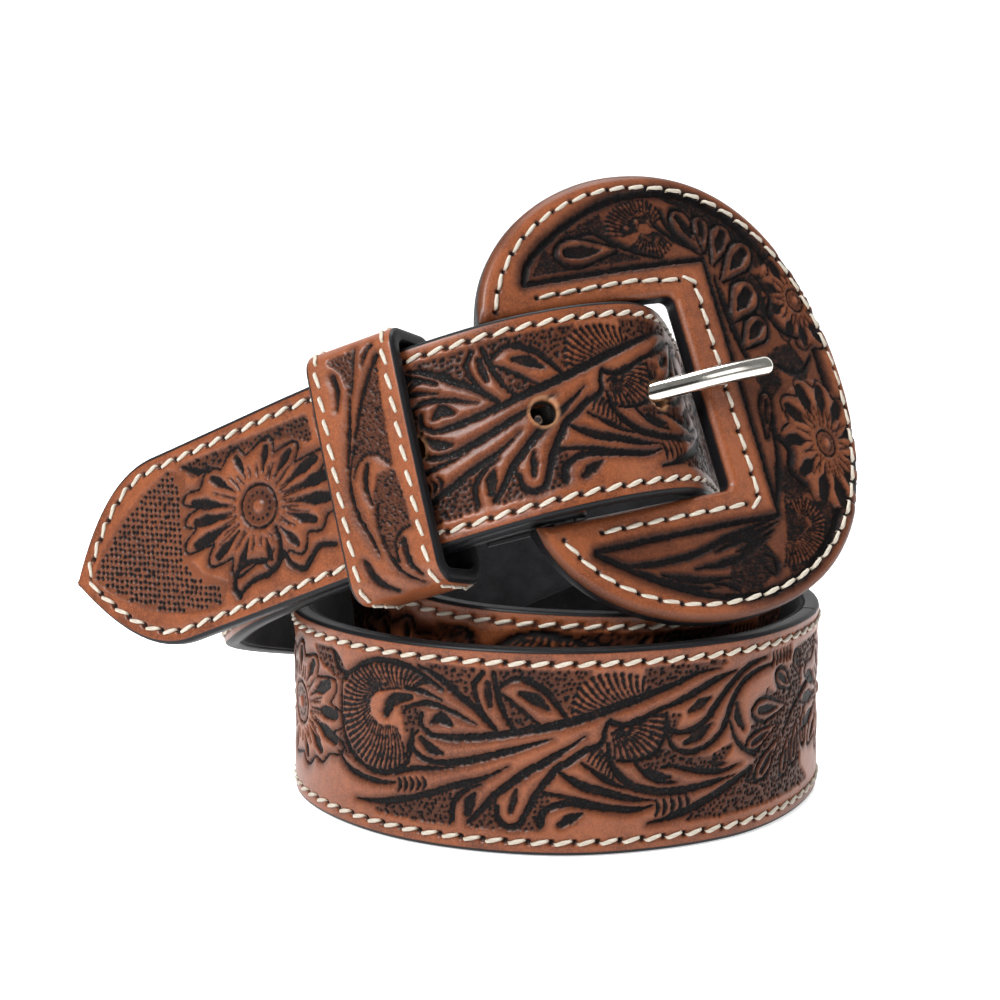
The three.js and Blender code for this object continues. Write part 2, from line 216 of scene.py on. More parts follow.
@dataclass(frozen=True)
class TooledLeather:
    """Vegetable-tanned leather, tooled, darkened in its recesses and waxed."""

    name: str = "tooled_leather"
    brown: Colour = (0.180, 0.049, 0.016)
    worn: Colour = (0.285, 0.086, 0.030)
    deep: Colour = (0.074, 0.018, 0.007)
    antique: Colour = (0.0035, 0.0028, 0.003)
    edge_paint: Colour = (0.006, 0.006, 0.007)
    raw: Colour = (0.40, 0.20, 0.10)

    def material(self) -> bpy.types.Material:
        """Builds the finish from the points' antique, edge, raise and cut values."""
        shade = Shade(self.name)
        clouds = shade.noise(95, 4, 0.6)
        mottle = shade.noise(520, 3, 0.6)
        grain = shade.noise(2600, 3, 0.65)
        pores = shade.cells(1500)
        antique = shade.attribute("antique")
        edge = shade.attribute("edge")
        raised = shade.attribute("raise")
        cut = shade.attribute("cut")
        tone = (clouds * 0.8 + grain * 0.45 + mottle * 0.45).stepped(0.62, 1.02)
        body = shade.blend(tone, self.deep, self.brown)
        body = shade.blend((grain.stepped(0.4, 0.75) * 0.35 + raised * 0.45).clamped(), body, self.worn)
        speckle = (antique * (0.75 + mottle * 0.7) + (grain - 0.5) * antique * 0.9).clamped()
        body = shade.blend(speckle, body, self.antique)
        rim = (edge + (mottle - 0.5) * 0.5 * edge).stepped(0.25, 0.7)
        body = shade.blend(rim, body, self.edge_paint)
        body = shade.blend(cut, body, self.raw)
        rough = 0.43 + grain * 0.16 + antique * 0.02 + rim * 0.05
        height = grain * (0.5 + antique) + pores * 0.35 + mottle * 0.5
        return shade.finish({
            "Base Color": body,
            "Roughness": rough,
            "Normal": shade.bump(height, 0.5, 0.00026),
            "Coat Weight": ((1 - speckle) * 0.48 + grain.stepped(0.55, 0.7) * antique * 0.4) * (1 - rim * 0.6),
            "Coat Roughness": 0.33,
            "Specular IOR Level": 0.08,
        })


@dataclass(frozen=True)
class Suede:
    """Near-black napped lining."""

    name: str = "lining_suede"
    nap: Colour = (0.008, 0.0075, 0.0085)
    brushed: Colour = (0.024, 0.023, 0.025)

    def material(self) -> bpy.types.Material:
        """Builds the napped finish."""
        shade = Shade(self.name)
        clouds = shade.noise(160, 4, 0.7)
        fibres = shade.noise(4200, 2, 0.7)
        colour = shade.blend((clouds * 0.6 + fibres * 0.5).stepped(0.35, 0.8), self.nap, self.brushed)
        return shade.finish({
            "Base Color": colour,
            "Roughness": 0.86 + fibres * 0.12,
            "Normal": shade.bump(fibres + clouds, 0.5, 0.0003),
            "Sheen Weight": 0.06,
            "Sheen Roughness": 0.5,
            "Specular IOR Level": 0.1,
        })


@dataclass(frozen=True)
class WaxedThread:
    """Thick cream waxed thread."""

    name: str = "cream_thread"
    light: Colour = (0.50, 0.455, 0.385)
    # Painted shade colour for the ply grooves and diving ends, also used for soil mottling.
    shade_and_soil_tone: Colour = (0.26, 0.21, 0.15)

    def material(self) -> bpy.types.Material:
        """Builds the thread's finish: painted shade darkens it between its plies and where it dives, and soil mottles
        it.
        """
        shade = Shade(self.name)
        fibres = shade.noise(3800, 3, 0.6)
        soil = shade.noise(260, 2, 0.5)
        groove = shade.attribute("groove")
        # Mask of painted shade from the ply grooves and diving ends, plus fibre and soil mottling.
        mask = (groove * 0.75 + (fibres - 0.5) * 0.7 + (soil - 0.5) * 0.5).clamped()
        return shade.finish({
            "Base Color": shade.blend(mask, self.light, self.shade_and_soil_tone),
            "Roughness": 0.62 + fibres * 0.2,
            "Normal": shade.bump(fibres, 0.4, 0.00012),
        })


@dataclass(frozen=True)
class Metal:
    """Plated or plain metal with fine rub marks."""

    name: str
    tone: Colour
    dull: Colour
    roughness: float

    def material(self) -> bpy.types.Material:
        """Builds the metal's finish."""
        shade = Shade(self.name)
        clouds = shade.noise(240, 3, 0.6)
        rubs = shade.noise(1900, 4, 0.7)
        return shade.finish({
            "Base Color": shade.blend(clouds.stepped(0.45, 0.8), self.tone, self.dull),
            "Metallic": 1.0,
            "Roughness": self.roughness + (clouds - 0.4) * 0.12 + (rubs - 0.5) * 0.08,
            "Normal": shade.bump(rubs, 0.08, 0.00008),
        })


@dataclass(frozen=True)
class StudioFloor:
    """White matt sweep under and behind the belt."""

    name: str = "studio_floor"
    tone: Colour = (0.93, 0.93, 0.935)

    def material(self) -> bpy.types.Material:
        """Builds the sweep's finish."""
        shade = Shade(self.name)
        clouds = shade.noise(3, 2, 0.5)
        colour = shade.blend(clouds, self.tone, tuple(0.985 * c for c in self.tone))
        return shade.finish({
            "Base Color": colour, "Roughness": 0.62, "Emission Color": (1.0, 1.0, 1.0), "Emission Strength": 0.62,
        })


# Curves and frames, in millimetres

def smoothstep(x: np.ndarray, low: float, high: float) -> np.ndarray:
    """Smooth step from 0 at low to 1 at high; low may be the larger."""
    t = np.clip((x - low) / (high - low), 0.0, 1.0)
    return t * t * (3.0 - 2.0 * t)


def unit(v: np.ndarray) -> np.ndarray:
    """Vectors of length one along the last axis."""
    return v / np.maximum(np.linalg.norm(v, axis=-1, keepdims=True), 1e-12)


def spline(points: np.ndarray, steps: int) -> np.ndarray:
    """Centripetal curve through the points, the same number of steps in each span.

    Args:
        points: rows of coordinates.
        steps: steps between neighbouring rows.

    Returns:
        The curve's points, both ends included.
    """
    full = np.vstack([2 * points[0] - points[1], points, 2 * points[-1] - points[-2]])
    t = np.arange(steps)[:, None] / steps
    spans = []
    for p0, p1, p2, p3 in zip(full, full[1:], full[2:], full[3:]):
        d0, d1, d2 = (max(float(((b - a) ** 2).sum()) ** 0.25, 1e-6) for a, b in ((p0, p1), (p1, p2), (p2, p3)))
        m1 = ((p1 - p0) / d0 - (p2 - p0) / (d0 + d1) + (p2 - p1) / d1) * d1
        m2 = ((p2 - p1) / d1 - (p3 - p1) / (d1 + d2) + (p3 - p2) / d2) * d1
        spans.append(p1 + t * m1 + t**2 * (3 * (p2 - p1) - 2 * m1 - m2) + t**3 * (2 * (p1 - p2) + m1 + m2))
    return np.vstack([*spans, points[-1:]])


@dataclass
class Clasp:
    """The fastening's leaning frame and the sizes of the buckle, bar and prong."""

    lean: float = 19.0
    roll: float = 15.5
    origin: Row = (-3.8, -43.1, 79.7)
    width: float = 38.1
    thickness: float = 3.0
    lining: float = 1.0
    gap: float = 0.3
    skived: float = 2.1
    bar_diameter: float = 3.6
    bar_depth: float = 4.9
    bar_from_opening: float = 33.0
    reach: float = 40.5
    rise: float = 1.1
    face_turns: tuple[Row, ...] = ((-1, 17), (-0.37, 21), (0, 27), (0.3, 35), (0.62, 43), (1, 53))
    face_origin: Row = (30.8, 17.8)
    shift: np.ndarray = field(default_factory=lambda: np.zeros(3))

    def __post_init__(self) -> None:
        """Works out the axes, the bent face and the row frame's shift."""
        self.across = self.leaning(self.lean, self.roll)
        b = math.radians(self.roll)
        self.along = np.array([math.cos(b), 0.0, math.sin(b)])
        self.inward = np.cross(self.across, self.along)
        s = np.arange(-60.0, 60.01, 0.1)
        turns = np.array(self.face_turns)
        heading = np.radians(np.interp(s / self.reach, turns[:, 0], turns[:, 1]))
        mid = (heading[1:] + heading[:-1]) / 2
        u = np.concatenate([[0], np.cumsum(np.cos(mid)) * 0.1])
        w = np.concatenate([[0], np.cumsum(np.sin(mid)) * 0.1])
        zero = len(s) // 2
        self.face = (s, u - u[zero] + self.face_origin[0], w - w[zero] + self.face_origin[1], heading)
        bu, bw, turn = (float(np.interp(-self.bar_from_opening, s, a)) for a in self.face[1:])
        self.bar = (bu - self.bar_depth * math.sin(turn), bw + self.bar_depth * math.cos(turn))
        low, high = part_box("buckle_bar")
        middle = np.array([(a + b) / 2 / MM for a, b in zip(low, high)])
        self.shift = middle - self.point(self.bar[0], self.bar[1], self.rise)

    @staticmethod
    def leaning(lean: "float | np.ndarray", roll: "float | np.ndarray") -> np.ndarray:
        """Width direction leaning away from the viewer and rolled to the left, in degrees."""
        a, b = np.radians(lean), np.radians(roll)
        return np.stack([-np.sin(b) * np.cos(a), np.sin(a) + 0 * b, np.cos(b) * np.cos(a)], -1)

    def point(self, u: "float | np.ndarray", w: "float | np.ndarray", v: "float | np.ndarray") -> np.ndarray:
        """Place in the row frame of u along, w inward and v across."""
        u, w, v = np.broadcast_arrays(u, w, v)
        flat = u[..., None] * self.along + w[..., None] * self.inward + v[..., None] * self.across
        return np.array(self.origin) + self.shift + flat

    def on_face(self, s: np.ndarray, v: np.ndarray, n: np.ndarray) -> np.ndarray:
        """Place of plate coordinates: s along the bent face, v across it and n outward from it."""
        at, us, ws, headings = self.face
        turn = np.interp(s, at, headings)
        u = np.interp(s, at, us) + n * np.sin(turn)
        w = np.interp(s, at, ws) - n * np.cos(turn)
        return self.point(u, w, v + self.rise)


class StrapPath:
    """Smooth path of the strap's outer face, from the skived end to the pointed tip."""

    coil_radius = 54.0
    tip_length = 24.0
    free_end = (
        (-2.62, 0.915), (-2.35, 0.81), (-2.08, 0.7), (-1.61, 0.47), (-1.14, 0.24), (-0.645, 0.047), (-0.13, -0.013),
        (0.13, 0.03), (0.37, 0.128), (0.575, 0.29), (0.685, 0.5), (0.75, 0.78), (0.795, 1.1), (0.85, 1.45),
    )
    fold_back = ((-0.43, 0.375), (-0.25, 0.393))
    fold_angles = (90, 60, 30, 0, -30, -60, -90)
    chape = ((-0.37, 0.145), (-0.66, 0.192), (-1.14, 0.37), (-1.48, 0.565), (-1.73, 0.76), (-1.9, 1.0))
    coil = (
        (0.26, 1.35, 1.16, 19, 15.5), (0.32, 1.27, 0.98, 18, 14), (0.4, 1.2, 0.84, 14, 10.5),
        (0.5, 1.13, 0.71, 9, 7), (0.625, 1.06, 0.575, 3.5, 2.5), (0.75, 1.01, 0.515, 0.6, 0.4),
        (0.82, 1, 0.5, 0, 0), (0.9, 1, 0.5, 0, 0), (1, 1, 0.5, 0, 0), (1.1, 1, 0.5, 0, 0), (1.2, 1.01, 0.5, 0, 0),
        (1.3, 0.985, 0.505, 0, 0), (1.4, 0.96, 0.52, 0, 0), (1.5, 0.93, 0.54, 0, 0), (1.62, 0.9, 0.555, 0, 0),
        (1.75, 0.87, 0.575, 0, 0), (1.86, 0.845, 0.6, 0, 0), (1.97, 0.82, 0.62, 0, 0), (2.1, 0.8, 0.665, 0.5, 0.5),
        (2.25, 0.775, 0.81, 5, 4), (2.38, 0.755, 1.06, 10, 8), (2.5, 0.73, 1.34, 14, 11.5),
        (2.62, 0.7, 1.68, 17.5, 14.5),
    )

    def __init__(self, clasp: Clasp) -> None:
        """Lays the path through its rows.

        Args:
            clasp: the fastening's frame and the strap's sizes.
        """
        self.clasp = clasp
        self.width = clasp.width
        radius = clasp.bar_diameter / 2 + 2 * clasp.gap + clasp.skived
        points, widths = [], []

        def in_clasp(u: float, w: float) -> None:
            """Adds a row of the clasp's frame."""
            points.append(clasp.point(u, w, 0.0) - clasp.shift)
            widths.append(clasp.across)

        for u, w in self.fold_back:
            in_clasp(u * self.width, w * self.width)
        for angle in self.fold_angles:
            a = math.radians(angle)
            in_clasp(clasp.bar[0] + radius * math.cos(a), clasp.bar[1] + radius * math.sin(a))
        for u, w in self.chape:
            in_clasp(u * self.width, w * self.width)
        for turn, share, height, lean, roll in self.coil:
            a, r = turn * 2 * math.pi, share * self.coil_radius
            points.append(np.array([-r * math.sin(a), -r * math.cos(a), height * self.width]))
            widths.append(clasp.leaning(lean, roll))
        for u, w in reversed(self.free_end):
            in_clasp(u * self.width, w * self.width)

        steps = 40
        points, widths = np.array(points), np.array(widths)
        curve = spline(points, steps)
        tangent = unit(np.gradient(curve, axis=0))
        place = np.minimum(np.arange(len(curve)) / steps, len(points) - 1.0001)
        k = place.astype(int)
        share = (place - k)[:, None]
        across = widths[k] * (1 - share) + widths[k + 1] * share
        travelled = np.concatenate([[0], np.cumsum(np.linalg.norm(np.diff(curve, axis=0), axis=1))])
        low = curve[:, 2] < self.width / 2 + 0.12
        curve[low, 2] = self.width / 2
        tangent[low, 2] = 0
        across[low] = (0, 0, 1)
        tangent = unit(tangent)
        across = unit(across - (across * tangent).sum(1, keepdims=True) * tangent)
        self.at = travelled
        self.length = float(travelled[-1])
        self.curve = curve + clasp.shift
        self.across = across
        self.out = np.cross(across, tangent)
        self.fold_end = self.fold_back[0][0] * self.width
        self.lining_start = -2 * self.fold_end + 4 * radius
        self.fold_middle = float(self.at[(len(self.fold_back) + 3) * steps])
        hole = clasp.point(0.5, 0.0, 0.0)
        later = self.at > self.length * 0.6
        near = np.linalg.norm(self.curve - hole, axis=1) + np.where(later, 0, 1e6)
        self.open_hole = float(self.at[int(near.argmin())])

    def half_width(self, s: np.ndarray) -> np.ndarray:
        """Half of the strap's width at distance s, narrowing to the tip."""
        share = np.clip(1 - (self.length - s) / self.tip_length, 0, 1)
        return self.width / 2 * (1 - 0.97 * share**2.1)

    def thickness(self, s: np.ndarray) -> np.ndarray:
        """Thickness of the leather at distance s, thinned toward the fold."""
        whole = smoothstep(s, -self.fold_end * 1.3, -self.fold_end * 2.2)
        return self.clasp.skived + (self.clasp.thickness - self.clasp.skived) * whole

    def place(self, s: np.ndarray, v: np.ndarray, n: np.ndarray) -> np.ndarray:
        """Place of s along the strap, v across it and n outward from its face."""
        s, v, n = np.broadcast_arrays(s, v, n)
        centre, across, out = (
            np.stack([np.interp(s, self.at, rows[:, i]) for i in range(3)], -1)
            for rows in (self.curve, self.across, self.out)
        )
        return centre + v[..., None] * unit(across) + n[..., None] * unit(out)


# Tooling, drawn as marks on a flat sheet and pressed into it

class Mark(Enum):
    """Kinds of tool marks, each with its depth in millimetres and how dark it is left."""

    KNIFE = (0.55, 1.0)
    BEVEL = (0.66, 1.0)
    DENT = (0.5, 0.95)
    RIB = (0.36, 1.0)
    SEED = (0.34, 1.0)


Point = tuple[float, float]


class Sheet:
    """Flat sheet of leather that takes tool marks: depth, darkness and lift on a fine raster."""

    raggedness = 0.28

    def __init__(self, low: Point, high: Point, pitch: float, seed: int) -> None:
        """Clears the sheet.

        Args:
            low: lowest corner, in millimetres.
            high: highest corner, in millimetres.
            pitch: raster step.
            seed: start of the sheet's random draws.
        """
        self.low, self.pitch = low, pitch
        self.x = np.arange(low[0], high[0] + pitch, pitch)
        self.y = np.arange(low[1], high[1] + pitch, pitch)
        shape = (len(self.x), len(self.y))
        self.depth = np.zeros(shape)
        self.shoulder = np.zeros(shape)
        self.dark = np.zeros(shape)
        self.lift = np.zeros(shape)
        self.random = np.random.default_rng(seed)
        ragged = self.random.random(shape) - 0.5
        for axis in (0, 1):
            ragged = sum(np.roll(ragged, k, axis) for k in range(-2, 3)) / 5
        self.ragged = ragged * self.raggedness / np.abs(ragged).max()

    def _window(self, points: np.ndarray, margin: float) -> tuple[slice, slice, np.ndarray, np.ndarray]:
        """Part of the raster round some points, with its coordinates."""
        lo = np.floor((points.min(0) - margin - self.low) / self.pitch).astype(int)
        hi = np.ceil((points.max(0) + margin - self.low) / self.pitch).astype(int)
        a = slice(max(lo[0], 0), max(min(hi[0] + 1, len(self.x)), 0))
        b = slice(max(lo[1], 0), max(min(hi[1] + 1, len(self.y)), 0))
        return a, b, self.x[a][:, None], self.y[b][None, :]

    def _press(self, a: slice, b: slice, away: np.ndarray, mark: Mark, soft: float, spread: float, force: float) -> None:
        """Presses one mark, from each raster point's distance outside the mark's edge."""
        depth, dark = mark.value
        away = away + self.ragged[a, b]
        core = smoothstep(away, soft, -soft)
        skirt = np.exp(-((np.maximum(away, 0) / spread) ** 2))
        self.depth[a, b] = np.maximum(self.depth[a, b], depth * force * core)
        self.shoulder[a, b] = np.maximum(self.shoulder[a, b], 0.34 * depth * force * skirt)
        self.dark[a, b] = np.maximum(self.dark[a, b], dark * min(force, 1.0) * core)

    def stroke(
        self, points: list[Point], widths: Row, mark: Mark = Mark.KNIFE, spread: float = 0.85, force: float = 1.0
    ) -> None:
        """Presses a smooth line whose width changes evenly through the given widths.

        Args:
            points: places that the line goes through.
            widths: widths at even shares of its length.
            mark: kind of tool mark.
            spread: reach of the softened shoulder beside the line.
            force: share of the mark's full depth.
        """
        line = spline(np.array(points, float), 8) if len(points) > 2 else np.array(points, float)
        if len(points) == 2:
            line = np.linspace(line[0], line[1], 4)
        run = np.concatenate([[0], np.cumsum(np.linalg.norm(np.diff(line, axis=0), axis=1))])
        half = np.interp(run / run[-1], np.linspace(0, 1, len(widths)), np.array(widths) / 2)
        a, b, x, y = self._window(line, max(widths) / 2 + 2.2 * spread)
        if x.size == 0 or y.size == 0:
            return
        away = np.full((x.shape[0], y.shape[1]), 1e3)
        for (x0, y0), (x1, y1), r0, r1 in zip(line, line[1:], half, half[1:]):
            dx, dy = x1 - x0, y1 - y0
            t = np.clip(((x - x0) * dx + (y - y0) * dy) / max(dx * dx + dy * dy, 1e-9), 0, 1)
            gap = np.hypot(x - x0 - t * dx, y - y0 - t * dy) - (r0 + t * (r1 - r0))
            away = np.minimum(away, gap)
        self._press(a, b, away, mark, 0.14, spread, force)

    def ribs(self, inner: list[Point], outer: list[Point], count: int, width: float = 0.42, force: float = 1.0) -> None:
        """Presses strokes from an inner curve to an outer one, as on a shell or a fan.

        Args:
            inner: the curve where the strokes start, thin.
            outer: the curve where they end, wide.
            count: number of strokes.
            width: width at the outer end.
            force: share of the mark's full depth.
        """
        ends = []
        self.clear([*inner, *outer[::-1]])
        for rows in (inner, outer):
            line = spline(np.array(rows, float), 12) if len(rows) > 2 else np.array(rows, float)
            run = np.concatenate([[0], np.cumsum(np.linalg.norm(np.diff(line, axis=0), axis=1))])
            share = np.linspace(0, run[-1], count)
            ends.append(np.stack([np.interp(share, run, line[:, i]) for i in range(2)], -1))
        for start, end in zip(*ends):
            bend = np.array([-(end - start)[1], (end - start)[0]]) * 0.06
            self.stroke([tuple(start), tuple((start + end) / 2 + bend), tuple(end)],
                        tuple(width * np.linspace(0.5, 1.0, 9) * np.tile((1.0, 0.68), 5)[:9]), Mark.RIB, 0.3, force)

    def seeds(self, corners: list[Point], pitch: float, size: float, sink: float = 0.28, dark: float = 0.55) -> None:
        """Sinks an area, darkens it and fills it with scattered dots.

        Args:
            corners: the area's outline.
            pitch: distance between dots.
            size: diameter of a dot.
            sink: depth of the whole area.
            dark: how dark the ground between the dots is left.
        """
        outline = np.array(corners, float)
        a, b, x, y = self._window(outline, 1.0)
        if x.size == 0 or y.size == 0:
            return
        away = outline_distance(x, y, outline)
        ground = smoothstep(away + self.ragged[a, b], 0.9, 0.2)
        self.depth[a, b] = np.maximum(self.depth[a, b], sink * ground)
        mottled = dark * ground * (0.75 + 0.5 * self.random.random(away.shape))
        self.dark[a, b] = np.maximum(self.dark[a, b], np.minimum(mottled, 1))
        low, high = outline.min(0), outline.max(0)
        for i in range(int((high[0] - low[0]) / pitch) + 2):
            for j in range(int((high[1] - low[1]) / pitch) + 2):
                jitter = (self.random.random(2) - 0.5) * 0.7 * pitch
                spot = low + np.array([(i + 0.5 * (j % 2)) * pitch, j * pitch]) + jitter
                if float(outline_distance(spot[:1, None], spot[None, 1:], outline)[0, 0]) < 0.35:
                    self.dot(tuple(spot), size)

    def clear(self, corners: list[Point]) -> None:
        """Brings an area back up to the sheet's face, so that a motif stands on its ground."""
        outline = np.array(corners, float)
        a, b, x, y = self._window(outline, 0.6)
        if x.size and y.size:
            keep = smoothstep(outline_distance(x, y, outline), -0.3, 0.3)
            for raster in (self.depth, self.shoulder, self.dark):
                raster[a, b] *= keep

    def leaf(self, root: Point, tip: Point, wide: float, force: float = 1.0) -> None:
        """Presses a round-ended leaf or petal with a raised rim round a hollow.

        Args:
            root: its narrow end.
            tip: its round end.
            wide: its width.
            force: share of the marks' full depth.
        """
        a, b = np.array(root), np.array(tip)
        side = unit(np.array([-(b - a)[1], (b - a)[0]])) * wide
        half = [(0.0, 0.06), (0.34, 0.3), (0.68, 0.5), (0.93, 0.34), (1.03, 0.0)]
        line = [tuple(a + (b - a) * t + side * w) for t, w in half] + [tuple(a + (b - a) * t - side * w) for t, w in half[-2::-1]]
        self.clear(line)
        self.stroke(line, (0.5, 0.8, 0.9, 0.8, 0.5), Mark.BEVEL, 0.9, force)
        self.stroke([tuple(a + (b - a) * t) for t in (0.3, 0.62, 0.82)], (0.4, wide * 0.44, wide * 0.36), Mark.DENT, 0.5, force)

    def dot(self, spot: Point, size: float, force: float = 1.7) -> None:
        """Presses one round dot."""
        a, b, x, y = self._window(np.array([spot]), size + 0.6)
        if x.size and y.size:
            away = np.hypot(x - spot[0], y - spot[1]) - size / 2
            self._press(a, b, away, Mark.SEED, 0.13, 0.3, force)

    def daisy(self, centre: Point, reach: Point, disc: float, count: int, start: float = 0.0) -> None:
        """Presses a flower with a ringed disc and hollowed petals.

        Args:
            centre: middle of the disc.
            reach: distance to the petals' tips, along and across.
            disc: the disc's radius.
            count: number of petals.
            start: angle of the first petal, in degrees.
        """
        middle = np.array(centre)
        turns = np.linspace(0, 2 * math.pi, 25)[:-1]
        self.clear([(centre[0] + 0.96 * reach[0] * math.cos(a), centre[1] + 0.96 * reach[1] * math.sin(a)) for a in turns])
        rim = []
        for k in range(count):
            angle = math.radians(start + 360 / count * (k + 0.16 * (self.random.random() - 0.5)))
            far = 0.94 + 0.12 * self.random.random()
            aim = np.array([math.cos(angle) * reach[0], math.sin(angle) * reach[1]]) * far
            side = unit(np.array([-aim[1], aim[0]]))
            wide = 1.08 * math.hypot(*aim) * math.pi / count * min(1.0, reach[1] / reach[0] + 0.12)
            near = unit(aim) * disc
            tip = middle + aim
            self.stroke([tuple(middle + near * 1.55), tuple(middle + aim * 0.62), tuple(middle + aim * 0.86)],
                        (0.25, 0.75, wide * 0.78, wide * 0.62), Mark.DENT, 0.5)
            for edge in (-1, 1):
                root = middle + near * 1.35 + side * edge * disc * 0.22
                belly = middle + aim * 0.60 + side * edge * wide * 0.72
                self.stroke([tuple(root), tuple((root + belly) / 2 + side * edge * 0.15), tuple(belly)],
                            (0.25, 0.5, 0.3), Mark.KNIFE, 0.5, 0.8)
            notch = middle + aim * 0.80 - side * wide * 0.98
            rim.extend([tuple(notch), tuple(tip - side * wide * 0.52 - aim * 0.01), tuple(tip + aim * 0.02)])
        for k in range(count):
            part = [rim[(3 * k + j) % len(rim)] for j in range(4)]
            self.stroke(part, (0.45, 0.62, 0.62, 0.45), Mark.BEVEL, 1.1)
        ring = [(centre[0] + disc * math.cos(a), centre[1] + disc * math.sin(a)) for a in np.linspace(0, 2 * math.pi, 17)]
        self.stroke(ring, (0.5, 0.5), Mark.BEVEL, 0.6)
        beads = 13
        for k in range(beads):
            a = 2 * math.pi * k / beads
            self.dot((centre[0] + 0.62 * disc * math.cos(a), centre[1] + 0.62 * disc * math.sin(a)), 0.17 * disc, 1.2)
        a, b, x, y = self._window(np.array([centre]), disc + 0.5)
        r = np.hypot(x - centre[0], y - centre[1]) / disc
        dish = smoothstep(r, 1.0, 0.8) * smoothstep(r, 0.22, 0.36)
        self.depth[a, b] = np.maximum(self.depth[a, b], 0.28 * dish)
        self.dark[a, b] = np.maximum(self.dark[a, b], 0.5 * dish)
        self.lift[a, b] = np.maximum(self.lift[a, b], 0.15 * smoothstep(r, 0.36, 0.1))

    def read(self, x: np.ndarray, y: np.ndarray) -> tuple[np.ndarray, np.ndarray]:
        """Height and darkness at places on the sheet, both 0 outside it."""
        fx = (x - self.low[0]) / self.pitch
        fy = (y - self.low[1]) / self.pitch
        inside = (fx >= 0) & (fy >= 0) & (fx <= len(self.x) - 1.001) & (fy <= len(self.y) - 1.001)
        fx, fy = np.clip(fx, 0, len(self.x) - 1.001), np.clip(fy, 0, len(self.y) - 1.001)
        i, j = fx.astype(int), fy.astype(int)
        tx, ty = fx - i, fy - j
        height = self.lift - np.maximum(self.depth, self.shoulder)
        results = []
        residue = np.maximum(self.dark, 2.0 * self.shoulder)
        for raster in (height, residue):
            low = raster[i, j] * (1 - ty) + raster[i, j + 1] * ty
            high = raster[i + 1, j] * (1 - ty) + raster[i + 1, j + 1] * ty
            results.append(np.where(inside, low * (1 - tx) + high * tx, 0.0))
        return results[0], results[1]


def outline_distance(x: np.ndarray, y: np.ndarray, outline: np.ndarray) -> np.ndarray:
    """Distance outside a closed outline, negative inside it.

    Args:
        x: column of x places.
        y: row of y places.
        outline: corners in order.

    Returns:
        One distance for each pair of places.
    """
    x, y = np.broadcast_arrays(x, y)
    gap = np.full(x.shape, 1e9)
    inside = np.zeros(x.shape, bool)
    for (x0, y0), (x1, y1) in zip(outline, np.roll(outline, -1, axis=0)):
        dx, dy = x1 - x0, y1 - y0
        t = np.clip(((x - x0) * dx + (y - y0) * dy) / max(dx * dx + dy * dy, 1e-9), 0, 1)
        gap = np.minimum(gap, np.hypot(x - x0 - t * dx, y - y0 - t * dy))
        if y0 != y1:
            crosses = ((y0 > y) != (y1 > y)) & (x < dx * (y - y0) / dy + x0)
            inside ^= crosses
    return np.where(inside, -gap, gap)


# Meshes

def add_piece(
    name: str, points: np.ndarray, faces: list, values: dict[str, np.ndarray], material: bpy.types.Material,
    nodes: tuple[str, ...] = ()
) -> bpy.types.Object:
    """Adds one piece of the belt, which rides on the root body.

    Args:
        name: the piece's name.
        points: its points, in millimetres.
        faces: its faces, as point numbers.
        values: numbers kept on its points for the material.
        material: its finish.
        nodes: CAD nodes that it stands for.

    Returns:
        The new object.
    """
    mesh = bpy.data.meshes.new(name)
    mesh.from_pydata((points * MM).tolist(), [], faces)
    for key, numbers in values.items():
        kept = mesh.attributes.new(key, "FLOAT", "POINT")
        kept.data.foreach_set("value", np.asarray(numbers, np.float32).ravel())
    mesh.polygons.foreach_set("use_smooth", [True] * len(mesh.polygons))
    mesh.materials.append(material)
    made = bpy.data.objects.new(name, mesh)
    bpy.context.scene.collection.objects.link(made)
    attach(made, "root")
    if nodes:
        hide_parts(*nodes)
    log.info("%s: %d points, %d faces", name, len(points), len(faces))
    return made


def tube_quads(rows: int, ring: int, closed: bool) -> np.ndarray:
    """Quads of a tube: rings of points joined one to the next, and the last to the first if closed."""
    i = np.arange(rows if closed else rows - 1)[:, None]
    k = np.arange(ring)[None, :]
    after, beside = (i + 1) % rows * ring, (k + 1) % ring
    return np.stack(np.broadcast_arrays(i * ring + k, i * ring + beside, after + beside, after + k), -1)


@dataclass(frozen=True)
class Profile:
    """Columns round a leather strip's cross-section, with rounded outer and inner corners."""

    face_columns: int
    back_columns: int
    outer_radius: float = 0.85
    inner_radius: float = 0.5

    def columns(self) -> tuple[np.ndarray, np.ndarray, np.ndarray, np.ndarray]:
        """Share across, cosine, sine and whether outer, for each column."""
        rows = [(f, 0.0, 1.0, 1.0) for f in np.linspace(-1, 1, self.face_columns)]
        for side in (1, -1):
            outer = [(side, side * math.cos(a), math.sin(a), 1.0) for a in np.radians((68, 45, 22, 0))]
            inner = [(side, side * math.cos(a), math.sin(a), 0.0) for a in np.radians((0, -45))]
            if side > 0:
                rows += outer + inner
                rows += [(f, 0.0, -1.0, 0.0) for f in np.linspace(1, -1, self.back_columns)]
            else:
                rows += inner[::-1] + outer[::-1]
        f, c, s, outer = np.array(rows, float).T
        return f, c, s, outer

    def shape(self, half: np.ndarray, thick: np.ndarray) -> tuple[np.ndarray, np.ndarray]:
        """Across and outward places of every column for half widths and thicknesses, one row each."""
        f, c, s, outer = self.columns()
        big = np.minimum(self.outer_radius, 0.8 * half)[:, None]
        small = np.minimum(self.inner_radius, 0.5 * half)[:, None]
        radius = np.where(outer > 0, big, small)
        v = f * (half[:, None] - radius) + radius * c
        n = np.where(outer > 0, -big + big * s, -thick[:, None] + small + small * s)
        return v, n


